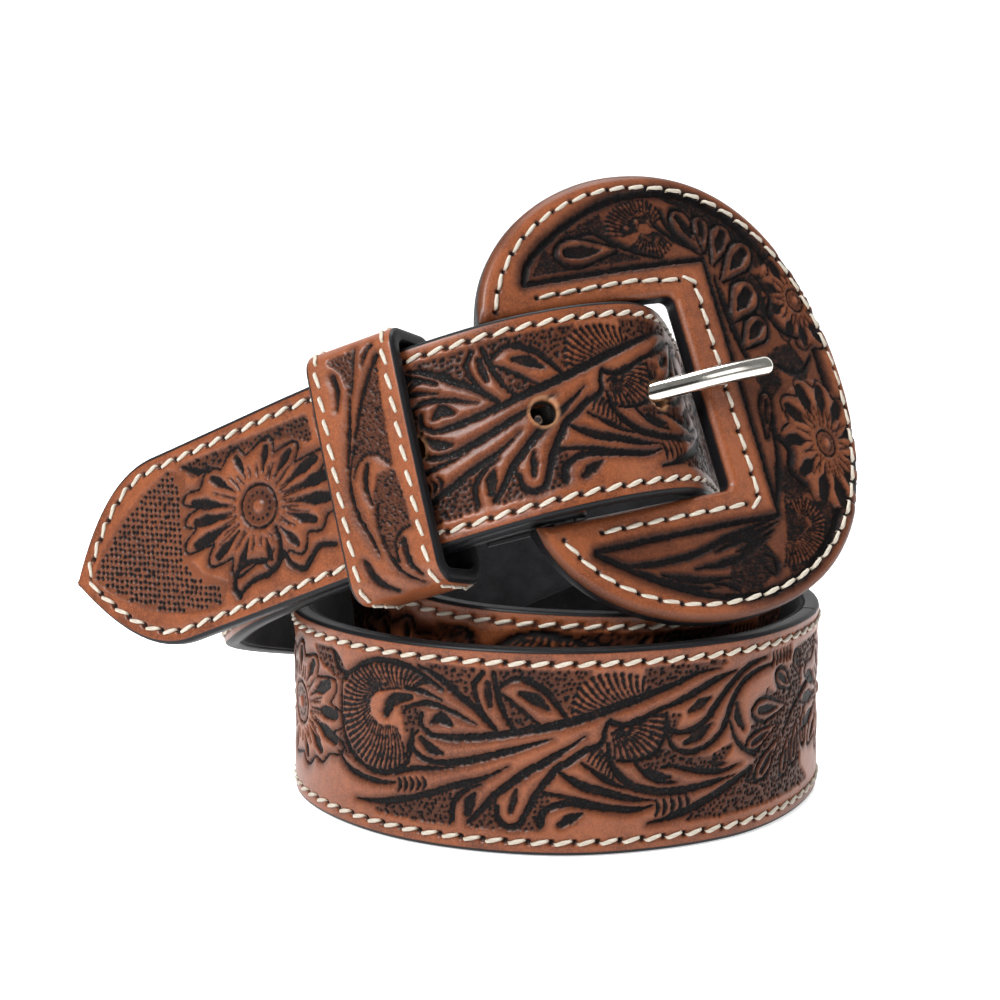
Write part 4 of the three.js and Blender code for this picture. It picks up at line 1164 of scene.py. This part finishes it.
class Strap:
    """Tooled strap with its lining and two rows of stitches."""

    seam_inset = 2.6
    repeat = 141.75
    tip_panel = 64.0
    hole_radius = 2.5
    hole_spacing = 25.4
    slot_length = 15.0
    slot_width = 5.2

    def __init__(self, clasp: Clasp, path: StrapPath, pattern: Sheet, tip: Sheet) -> None:
        """Takes the path and the tooled sheets, and lays out the seams and holes."""
        self.clasp, self.path, self.pattern, self.tip = clasp, path, pattern, tip
        s = np.concatenate([np.arange(path.fold_middle + 4, path.length - 26, 2), np.arange(path.length - 26, path.length, 0.25)])
        half = path.half_width(s)
        slope = np.gradient(half, s)
        v = half - self.seam_inset * np.sqrt(1 + slope**2)
        keep = v > 0.3
        s, v = s[keep], v[keep]
        loop = np.concatenate([np.stack([s, v], -1), np.stack([s[::-1], -v[::-1]], -1)])
        self.holes, self.middles = spaced(loop, Stitches.pitch)
        self.seam = (s, v)
        self.punched = [path.open_hole + k * self.hole_spacing for k in (1, 0, -1, -2, -3)]

    def relief(self, s: np.ndarray, v: np.ndarray) -> dict[str, np.ndarray]:
        """Height, darkness, edge paint, lift and rim tone of the face at flat places."""
        from_tip = self.path.length - s
        half = self.path.half_width(s)
        h0, d0 = self.tip.read(from_tip, v)
        h1, d1 = self.pattern.read(np.mod(from_tip - 28.2, self.repeat), v)
        on_tip = from_tip < self.tip_panel
        height, dark = np.where(on_tip, h0, h1), np.where(on_tip, d0, d1)
        fade = smoothstep(s, 60.0, 75.0)
        height, dark = height * fade, dark * fade
        line = np.interp(s, self.seam[0], self.seam[1], right=-5)
        off = np.abs(np.abs(v) - line)
        height = height - 0.16 * np.exp(-((off / 0.6) ** 2))
        close = np.where((off < 1.2).ravel())[0]
        spot = np.stack([s.ravel()[close], v.ravel()[close]], -1)
        gap = np.full(len(close), 9.0)
        for hole in self.holes:
            near = np.abs(spot[:, 0] - hole[0]) < 1.5
            gap[near] = np.minimum(gap[near], np.hypot(spot[near, 0] - hole[0], spot[near, 1] - hole[1]))
        pit = np.zeros(s.size)
        pit[close] = smoothstep(gap, 0.85, 0.3)
        pit = pit.reshape(s.shape)
        height = height - 0.5 * pit
        dark = np.maximum(dark, 0.9 * pit)
        rim = np.zeros(s.shape)
        for at in self.punched:
            ring = np.hypot(s - at, v) - self.hole_radius
            height = height - 0.3 * np.exp(-((ring / 0.5) ** 2))
            rim = np.maximum(rim, smoothstep(ring, 0.9, 0.1) * 0.6)
        away = half - np.abs(v)
        edge = smoothstep(away, 1.15, 0.35)
        raised = np.clip(0.35 + height * 1.2, 0, 1) * smoothstep(away, 1.2, 3.0)
        return {"height": height, "antique": dark, "edge": edge, "raise": raised, "cut": rim}

    def missing(self, s: np.ndarray, v: np.ndarray) -> np.ndarray:
        """Whether flat places lie in a punched hole or in the prong's slot."""
        gone = np.zeros(s.shape, bool)
        for at in self.punched:
            gone |= np.hypot(s - at, v) < self.hole_radius
        slot = (np.abs(s - self.path.fold_middle) < self.slot_length / 2 + 3) & (np.abs(v - self.clasp.rise) < self.slot_width / 2)
        return gone | slot

    def strip(self, name: str, start: float, end: float, step: float, columns: int, holed: bool,
              material: bpy.types.Material, ends: tuple[bool, bool], lining: bool = False) -> None:
        """Builds one stretch of the leather or of the lining.

        Args:
            name: the piece's name.
            start: where it starts along the strap.
            end: where it ends.
            step: distance between its rows.
            columns: columns across its face.
            holed: whether holes or the slot cut through it.
            material: its finish.
            ends: whether its start and its end are closed.
            lining: whether it is the lining, which has no tooling.
        """
        rows = max(int((end - start) / step), 2) + 1
        s = np.linspace(start, end, rows)
        half = self.path.half_width(s) - (0.3 if lining else 0.0)
        thick = np.full(rows, self.clasp.lining) if lining else self.path.thickness(s)
        profile = Profile(columns, columns if holed else 7, 0.3 if lining else 0.85, 0.3 if lining else 0.5)
        v, n = profile.shape(np.maximum(half, 0.25), thick)
        _, _, sine, outer = profile.columns()
        ring = v.shape[1]
        s = np.repeat(s[:, None], ring, 1)
        gone = np.zeros((rows - 1, columns - 1), bool)
        back = columns + 6 + columns - 1 - np.arange(columns)
        if holed:
            mid_s = (s[1:, :columns - 1] + s[:-1, :columns - 1]) / 2
            mid_v = (v[1:, :columns - 1] + v[:-1, 1:columns]) / 2
            gone = self.missing(mid_s, mid_v)
            touch = np.zeros((rows, columns), bool)
            for a, b in ((0, 0), (0, 1), (1, 0), (1, 1)):
                touch[a:rows - 1 + a, b:columns - 1 + b] |= gone
            for at in self.punched:
                for index in (np.arange(columns), back):
                    ss, vv = s[:, index], v[:, index]
                    gap = np.hypot(ss - at, vv)
                    snap = touch & (gap > self.hole_radius - 2 * step) & (gap < self.hole_radius + 2 * step)
                    s[:, index] = np.where(snap, at + (ss - at) * self.hole_radius / np.maximum(gap, 1e-6), ss)
                    v[:, index] = np.where(snap, vv * self.hole_radius / np.maximum(gap, 1e-6), vv)
        values = {}
        drop = self.clasp.thickness + 0.02 if lining else 0.0
        if not lining:
            values = self.relief(s, v)
            face = (outer > 0) & (sine > 0)
            n = n + np.where(face, values.pop("height") * sine, 0)
            values["edge"] = np.where(face, values["edge"] * sine + (1 - sine), 1.0)
            for key in ("antique", "cut", "raise"):
                values[key] = np.where(face, values[key], 0.0)
        points = self.path.place(s, v, n - drop).reshape(-1, 3)
        quads = tube_quads(rows, ring, False)
        walls = []
        if holed:
            keep = np.ones(quads.shape[:2], bool)
            keep[:, :columns - 1] &= ~gone
            keep[:, back[-1]:back[0]] &= ~gone[:, ::-1]
            padded = np.pad(gone, 1)
            near = (padded[:-2, 1:-1], padded[2:, 1:-1], padded[1:-1, 2:], padded[1:-1, :-2])
            edges = (((0, 0), (0, 1)), ((1, 1), (1, 0)), ((0, 1), (1, 1)), ((1, 0), (0, 0)))
            for neighbour, ((ai, aj), (bi, bj)) in zip(near, edges):
                i, j = np.where(neighbour & ~gone)
                a, b = (i + ai) * ring + j + aj, (i + bi) * ring + j + bj
                a_back, b_back = (i + ai) * ring + back[j + aj], (i + bi) * ring + back[j + bj]
                walls += np.stack([b, a, a_back, b_back], -1).tolist()
            faces = quads[keep].tolist() + walls
        else:
            faces = quads.reshape(-1, 4).tolist()
        if ends[0]:
            faces.append(list(range(ring))[::-1])
        if ends[1]:
            faces.append([(rows - 1) * ring + k for k in range(ring)])
        faces = [f[::-1] for f in faces]
        add_piece(name, points, faces, values, material, ("strap_lining" if lining else "strap",))

    def build(self, leather: bpy.types.Material, suede: bpy.types.Material, thread: bpy.types.Material) -> None:
        """Builds the strap's stretches, the lining and the seams."""
        end = self.path.length
        front = 403.0
        cuts = (
            ("strap_fold", 0.0, 44.0, 0.6, 64, True), ("strap_chape", 44.0, front - 84, 0.9, 47, False),
            ("strap_front_right", front - 84, front, 0.26, 147, False), ("strap_front_left", front, front + 84, 0.26, 147, False),
            ("strap_second_turn", front + 84, end - 240, 0.68, 58, False), ("strap_punched", end - 240, end - 133, 0.56, 68, True),
            ("strap_bend", end - 133, end - 62, 0.32, 120, True), ("strap_tip", end - 62, end, 0.26, 147, False),
        )
        for name, start, stop, step, columns, holed in cuts:
            self.strip(name, start, stop, step, columns, holed, leather, (start == 0.0, stop == end))
        start = self.path.lining_start
        self.strip("lining_inner", start, end - 240, 1.6, 12, False, suede, (True, False), True)
        self.strip("lining_punched", end - 240, end, 0.8, 48, True, suede, (False, True), True)
        stitches = Stitches()
        s, v = self.middles[:, 0], self.middles[:, 1]
        centre = self.path.place(s, v, np.full(len(s), -0.14))
        ahead = np.roll(self.middles, -1, axis=0) - np.roll(self.middles, 1, axis=0)
        ahead[0], ahead[-1] = (1, 0), (-1, 0)
        step = unit(ahead) * 0.5
        along = self.path.place(s + step[:, 0], v + step[:, 1], 0.0) - self.path.place(s - step[:, 0], v - step[:, 1], 0.0)
        out = self.path.place(s, v, 1.0) - self.path.place(s, v, 0.0)
        stitches.sew(centre, along, out, Stitches.slant)
        stitches.build("strap_stitches", thread, "strap_leather")


# Buckle, prong and keeper

class Buckle:
    """Leather-covered buckle plate: a bent face cut by the opening, tooled, sewn and rolled at its rim."""

    half_height = 45.0
    left = 40.5
    right = 40.5
    depth = 5.2
    heel_share = 0.36
    roundness = 0.96
    opening = (-20.7, 18.9)
    border = 9.0
    columns = 600
    face_rows = 84

    def __init__(self, clasp: Clasp, sheet: Sheet) -> None:
        """Takes the clasp's frame and the tooled sheet, and presses the seams' holes in it."""
        self.clasp, self.sheet = clasp, sheet
        for line, _ in self.seams():
            for spot in spaced(line, Stitches.pitch)[0]:
                sheet.dot(tuple(spot), 0.9, 1.5)

    def outline(self, inset: float) -> np.ndarray:
        """Plate's outline from the top of the heel round to its bottom, drawn in by an inset."""
        half, right, left = self.half_height - inset, self.right - inset, -self.left + inset
        middle = -self.left * 0.135
        heel = half * self.heel_share
        a = np.linspace(math.pi / 2, 0, 60)
        top = np.stack([middle + (left - middle) * np.sin(a), heel + (half - heel) * np.cos(a)], -1)
        b = np.linspace(math.pi / 2, -math.pi / 2, 200)[1:-1]
        c, t = np.cos(b), np.sin(b)
        bow = np.stack([middle + (right - middle) * c**self.roundness, half * np.sign(t) * np.abs(t) ** self.roundness], -1)
        return np.vstack([top, bow, (top * (1, -1))[::-1]])

    def edges(self) -> tuple[np.ndarray, np.ndarray]:
        """Matching points along the outline and along the opening."""
        low, high = self.opening
        outer = self.outline(0.0)
        outer = outer[(outer[:, 1] > high) | (outer[:, 1] < low) | (outer[:, 0] > 0)]
        r = 1.6
        a = np.linspace(math.pi / 2, 0, 8)
        corner = np.stack([-r + r * np.cos(a), -r + r * np.sin(a)], -1)
        start, stop = outer[0, 0] + 0.6, outer[-1, 0] + 0.6
        inner = np.vstack([[(start, high)], corner + (0, high), (corner * (1, -1))[::-1] + (0, low), [(stop, low)]])
        pair = []
        for line in (outer, inner):
            run = np.concatenate([[0], np.cumsum(np.linalg.norm(np.diff(line, axis=0), axis=1))])
            share = np.linspace(0, run[-1], self.columns)
            pair.append(np.stack([np.interp(share, run, line[:, i]) for i in range(2)], -1))
        return pair[0], pair[1]

    def build(self, leather: bpy.types.Material, thread: bpy.types.Material) -> None:
        """Builds the cover and its seams."""
        outer, inner = self.edges()
        gap = np.linalg.norm(outer - inner, axis=1)
        profile = Profile(self.face_rows, 8, 1.9, 1.3)
        y, n = profile.shape(gap / 2, np.full(len(gap), self.depth))
        _, _, sine, outer_side = profile.columns()
        share = np.clip((y + gap[:, None] / 2) / gap[:, None], 0, 1)
        flat = inner[:, None] + share[..., None] * (outer - inner)[:, None]
        height, dark = self.sheet.read(flat[..., 0], flat[..., 1])
        face = (outer_side > 0) & (sine > 0)
        fade = sine * smoothstep(gap, 1.0, 6.0)[:, None]
        n = n + np.where(face, height * fade, 0)
        rim = (1 - share) * gap[:, None]
        crown = 0.3 * np.exp(-(((rim - 3.2) / 1.8) ** 2))
        n = n + np.where(face & (sine > 0.99), crown * fade, 0)
        edge = np.where(face, smoothstep(sine, 0.55, 0.2), 1.0) + 0 * rim
        lip = smoothstep(share * gap[:, None], 0.9, 0.1)
        edge = np.maximum(edge, np.where(face, 0.6 * lip, 1.0))
        raised = np.where(face, np.clip(0.4 + 1.1 * height, 0, 1), 0)
        dark = np.maximum(dark, 0.55 * smoothstep(rim, 2.6, 0.2))
        values = {"antique": np.where(face, dark, 0), "edge": edge, "raise": raised, "cut": 0 * edge}
        points = self.clasp.on_face(flat[..., 0], flat[..., 1], n).reshape(-1, 3)
        ring = n.shape[1]
        faces = tube_quads(len(gap), ring, False).reshape(-1, 4)[:, ::-1].tolist()
        faces.append(list(range(ring)))
        faces.append([(len(gap) - 1) * ring + k for k in range(ring)][::-1])
        add_piece("buckle_cover_leather", points, faces, values, leather, ("buckle_cover",))
        stitches = Stitches()
        for line, slant in self.seams():
            _, middles = spaced(line, Stitches.pitch)
            step = unit(np.gradient(middles, axis=0)) * 0.5
            s, v = middles[:, 0], middles[:, 1]
            at = self.clasp.on_face(s, v, np.full(len(s), -0.05))
            along = self.clasp.on_face(s + step[:, 0], v + step[:, 1], 0 * s) - self.clasp.on_face(s - step[:, 0], v - step[:, 1], 0 * s)
            out = self.clasp.on_face(s, v, 0 * s + 1) - self.clasp.on_face(s, v, 0 * s)
            stitches.sew(at, along, out, slant)
        stitches.build("buckle_stitches", thread, "buckle_leather")

    def seams(self) -> list[tuple[np.ndarray, float]]:
        """Flat lines of the perimeter seam and of the border seam, with their slants."""
        rim = self.outline(3.2)
        rim = rim[(rim[:, 1] > self.opening[1] + 1.8) | (rim[:, 1] < self.opening[0] - 3.2) | (rim[:, 0] > 0)]
        border = np.array([(-28, 22.2), (-8, 22.6), (5.2, 21.4), (5.2, 21.3), (5.2, -22.6), (5.1, -24.2), (-28, -24.2)])
        return [(rim, 0.1), (border, 0.1)]


class Prong:
    """Polished prong: a flattened rod that bends with the strap and loops round the bar."""

    rows = (
        (0.02, 0.307, 0.02), (0.21, 0.312, 0.02), (0.38, 0.32, 0.022), (0.54, 0.333, 0.026), (0.7, 0.363, 0.032),
        (0.835, 0.407, 0.042), (0.97, 0.477, 0.055), (1.09, 0.56, 0.068), (1.19, 0.635, 0.08),
    )
    radius = 2.0
    wall = 1.6

    def __init__(self, clasp: Clasp) -> None:
        """Takes the clasp's frame."""
        self.clasp = clasp

    def build(self, nickel: bpy.types.Material) -> None:
        """Builds the rod with its rounded end, and the loop."""
        clasp = self.clasp
        flat = spline(np.array(self.rows) * clasp.width, 12)
        line = clasp.point(flat[:, 0], flat[:, 1], flat[:, 2])
        tangent = unit(np.gradient(line, axis=0))
        side = unit(clasp.across - (tangent @ clasp.across)[:, None] * tangent)
        out = np.cross(side, tangent)
        run = np.concatenate([[0], np.cumsum(np.linalg.norm(np.diff(line, axis=0), axis=1))])
        to_end = run[-1] - run
        round_off = np.sqrt(np.clip(1 - np.clip(1 - to_end / self.radius, 0, 1) ** 2, 0.0004, 1))
        around = np.arange(28) * 2 * math.pi / 28
        wide = self.radius * round_off[:, None] * np.cos(around)
        high = self.radius * 0.94 * round_off[:, None] * np.sin(around)
        points = line[:, None] + side[:, None] * wide[..., None] + out[:, None] * high[..., None]
        quads = tube_quads(len(line), 28, False).reshape(-1, 4)
        faces = quads.tolist() + [list(range(28))[::-1], [(len(line) - 1) * 28 + k for k in range(28)]]
        base = len(line) * 28
        shape = [(0, -1.95), (-0.25, -2.15), (-1.45, -2.15), (-1.6, -1.9), (-1.6, 1.9), (-1.45, 2.15), (-0.25, 2.15), (0, 1.95)]
        outer = clasp.bar_diameter / 2 + clasp.gap + self.wall
        loop = []
        for k in range(40):
            a = 2 * math.pi * k / 40
            for inset, v in shape:
                r = outer + inset
                loop.append(clasp.point(clasp.bar[0] + r * math.cos(a), clasp.bar[1] + r * math.sin(a), v + clasp.rise))
        rings = tube_quads(40, len(shape), True).reshape(-1, 4) + base
        points = np.vstack([points.reshape(-1, 3), np.array(loop)])
        add_piece("prong_rod", points, faces + rings.tolist(), {}, nickel, ("prong",))


class Keeper:
    """Closed leather loop round the free end and the buckle end, tooled and sewn along both edges."""

    width = 19.0
    thick = 2.8
    room_high = 43.0
    drop = 1.0
    turn = -2.5
    slack = 3.2
    from_hole = 32.0
    corner = 4.4

    def __init__(self, clasp: Clasp, path: StrapPath, sheet: Sheet) -> None:
        """Finds the loop's frame on the strap."""
        self.sheet = sheet
        stack = clasp.thickness + clasp.gap + clasp.lining
        self.deep = 2 * stack + self.slack + 2 * self.thick
        self.high = self.room_high + 2 * self.thick
        at = np.array([path.open_hole + self.from_hole])
        centre, up, front = (path.place(at, np.array([float(v)]), np.array([float(n)]))[0] for v, n in ((0, 0), (1, 0), (0, 1)))
        out, width = unit(front - centre), unit(up - centre)
        along = unit(np.cross(out, width))
        a = math.radians(self.turn)
        self.out = out
        self.width_axis = width * math.cos(a) + along * math.sin(a)
        self.along = along * math.cos(a) - width * math.sin(a)
        self.centre = centre - out * (stack + clasp.gap) - width * self.drop
        side = np.sign(self.along[0]) or 1.0
        self.to_right = side

    def loop(self, count: int) -> tuple[np.ndarray, np.ndarray, np.ndarray]:
        """Outline of the loop's outer face: places, outward directions and distance from the front's middle."""
        r = self.corner
        half_d, half_h = self.deep / 2, self.high / 2
        rows, normals = [], []
        for cx, cy, start in ((1, 1, 0), (-1, 1, 90), (-1, -1, 180), (1, -1, 270)):
            for a in np.radians(np.linspace(start, start + 90, 13)):
                rows.append((cx * (half_d - r) + r * math.cos(a), cy * (half_h - r) + r * math.sin(a)))
                normals.append((math.cos(a), math.sin(a)))
        rows = np.array([(half_d, 0.0)] + rows + [(half_d, 0.0)])
        normals = np.array([(1.0, 0.0)] + normals + [(1.0, 0.0)])
        run = np.concatenate([[0], np.cumsum(np.linalg.norm(np.diff(rows, axis=0), axis=1))])
        share = np.arange(count) * run[-1] / count
        place = np.stack([np.interp(share, run, rows[:, i]) for i in range(2)], -1)
        normal = unit(np.stack([np.interp(share, run, normals[:, i]) for i in range(2)], -1))
        bow = 0.5 * np.clip(1 - (place[:, 1] / half_h) ** 2, 0, 1) * (place[:, 0] > half_d - 1)
        place[:, 0] += bow
        return place, normal, np.where(share > run[-1] / 2, share - run[-1], share)

    def spot(self, place: np.ndarray, x: np.ndarray) -> np.ndarray:
        """Place in the row frame of loop coordinates and x across the loop, to the viewer's right."""
        return (self.centre + place[..., :1] * self.out + place[..., 1:] * self.width_axis
                + (x * self.to_right)[..., None] * self.along)

    def build(self, leather: bpy.types.Material, thread: bpy.types.Material) -> None:
        """Builds the loop and its seams."""
        count = 420
        place, normal, run = self.loop(count)
        profile = Profile(70, 6, 0.9, 0.5)
        x, n = profile.shape(np.full(count, self.width / 2), np.full(count, self.thick))
        _, _, sine, outer = profile.columns()
        face = (outer > 0) & (sine > 0)
        height, dark = self.sheet.read(x, np.repeat(run[:, None], x.shape[1], 1))
        n = n + np.where(face, height * sine, 0)
        flat = place[:, None] + normal[:, None] * n[..., None]
        points = self.spot(flat, x).reshape(-1, 3)
        away = self.width / 2 - np.abs(x)
        edge = np.where(face, smoothstep(away, 1.1, 0.25), np.where(outer > 0, 1.0, 0.85))
        values = {"antique": np.where(face, dark, 0), "edge": edge, "cut": 0 * edge,
                  "raise": np.where(face, np.clip(0.5 + height, 0, 1), 0)}
        quads = tube_quads(count, x.shape[1], True).reshape(-1, 4)
        quads = quads if self.to_right > 0 else quads[:, ::-1]
        add_piece("keeper_loop", points, quads.tolist(), values, leather, ("keeper",))
        stitches = Stitches()
        number = int(self.high * 2 / Stitches.pitch) + 5
        pick = (np.arange(number) * count / number).astype(int)
        for across in (-self.width / 2 + 2.3, self.width / 2 - 2.3):
            at = self.spot(place[pick] - normal[pick] * 0.06, np.full(number, across))
            ahead = self.spot(place[(pick + 2) % count], np.full(number, across))
            behind = self.spot(place[pick - 2], np.full(number, across))
            out = self.spot(place[pick] + normal[pick], np.full(number, across)) - self.spot(place[pick], np.full(number, across))
            stitches.sew(at, ahead - behind, out, 0.16)
        stitches.build("keeper_stitches", thread, "keeper_leather")


# Studio

class Studio:
    """White floor that sweeps up behind the belt, soft lights and the camera."""

    lens = 61.2
    eye = (-0.0113, -0.350, 0.104)
    pitch = 7.5

    def build(self, shift: np.ndarray) -> None:
        """Adds the floor, the lights and the camera."""
        depth = np.concatenate([[-3.0], 1.6 + 0.5 * np.sin(np.linspace(0, math.pi / 2, 16)), [2.1]])
        height = np.concatenate([[0.0], 0.5 - 0.5 * np.cos(np.linspace(0, math.pi / 2, 16)), [3.2]])
        points = np.array([(x, y, z) for y, z in zip(depth, height) for x in (-4.0, 4.0)]) / MM
        mesh = bpy.data.meshes.new("floor")
        mesh.from_pydata((points * MM - (0, 0, 0.0002)).tolist(), [], [(2 * k, 2 * k + 1, 2 * k + 3, 2 * k + 2) for k in range(len(depth) - 1)])
        mesh.polygons.foreach_set("use_smooth", [True] * len(mesh.polygons))
        mesh.materials.append(StudioFloor().material())
        floor = bpy.data.objects.new("floor", mesh)
        bpy.context.scene.collection.objects.link(floor)
        flag = bpy.data.meshes.new("flag")
        flag.from_pydata([(x, -0.75, z) for x, z in ((-0.7, 0.1), (0.7, 0.1), (0.7, 0.5), (-0.7, 0.5))], [], [(0, 1, 2, 3)])
        flag.materials.append(Suede(name="flag_cloth").material())
        cloth = bpy.data.objects.new("flag", flag)
        bpy.context.scene.collection.objects.link(cloth)
        world = bpy.data.worlds.new("studio")
        world.use_nodes = True
        world.node_tree.nodes["Background"].inputs["Color"].default_value = (1.0, 1.0, 1.0, 1.0)
        world.node_tree.nodes["Background"].inputs["Strength"].default_value = 0.22
        bpy.context.scene.world = world
        bpy.context.scene.view_settings.view_transform = "Standard"
        self.light("key", (-0.55, -0.65, 0.85), 0.42, 15.0)
        self.light("fill", (0.85, -0.45, 0.55), 0.5, 1.2)
        self.light("window", (-0.3, -0.7, 0.62), 0.6, 4.0)
        self.light("top", (0.05, 0.25, 1.0), 0.6, 9.0)
        camera = bpy.data.cameras.new("camera")
        camera.lens = self.lens
        camera.sensor_width = 36.0
        camera.clip_start = 0.01
        seat = bpy.data.objects.new("camera", camera)
        seat.location = tuple(np.array(self.eye) + shift * MM)
        seat.rotation_euler = (math.radians(90 - self.pitch), 0, 0)
        bpy.context.scene.collection.objects.link(seat)
        bpy.context.scene.camera = seat

    def light(self, name: str, place: Row, size: float, power: float) -> None:
        """Adds one soft square light aimed at the belt."""
        lamp = bpy.data.lights.new(name, "AREA")
        lamp.size = size
        lamp.energy = power
        made = bpy.data.objects.new(name, lamp)
        made.location = place
        aim = np.array((0.0, 0.0, 0.05)) - np.array(place)
        made.rotation_euler = (math.acos(-aim[2] / float(np.linalg.norm(aim))), 0, math.atan2(aim[1], aim[0]) - math.pi / 2)
        bpy.context.scene.collection.objects.link(made)


def main() -> None:
    """Builds the belt's sub-assemblies in order."""
    logging.basicConfig(level=logging.INFO, format="%(name)s %(message)s")
    clasp = Clasp()
    Studio().build(clasp.shift)
    leather, thread = TooledLeather().material(), WaxedThread().material()
    path = StrapPath(clasp)
    log.info("strap %.1f mm long, open hole at %.1f mm", path.length, path.open_hole)
    Strap(clasp, path, strap_pattern(), tip_pattern()).build(leather, Suede().material(), thread)
    Buckle(clasp, buckle_pattern()).build(leather, thread)
    Keeper(clasp, path, keeper_pattern()).build(leather, thread)
    Prong(clasp).build(Metal("prong_nickel", (0.80, 0.77, 0.70), (0.62, 0.59, 0.53), 0.13).material())
    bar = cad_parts["buckle_bar"]
    bar.data.materials.clear()
    bar.data.materials.append(Metal("bar_steel", (0.45, 0.45, 0.46), (0.32, 0.32, 0.33), 0.35).material())


if __name__ == "__main__":
    main()
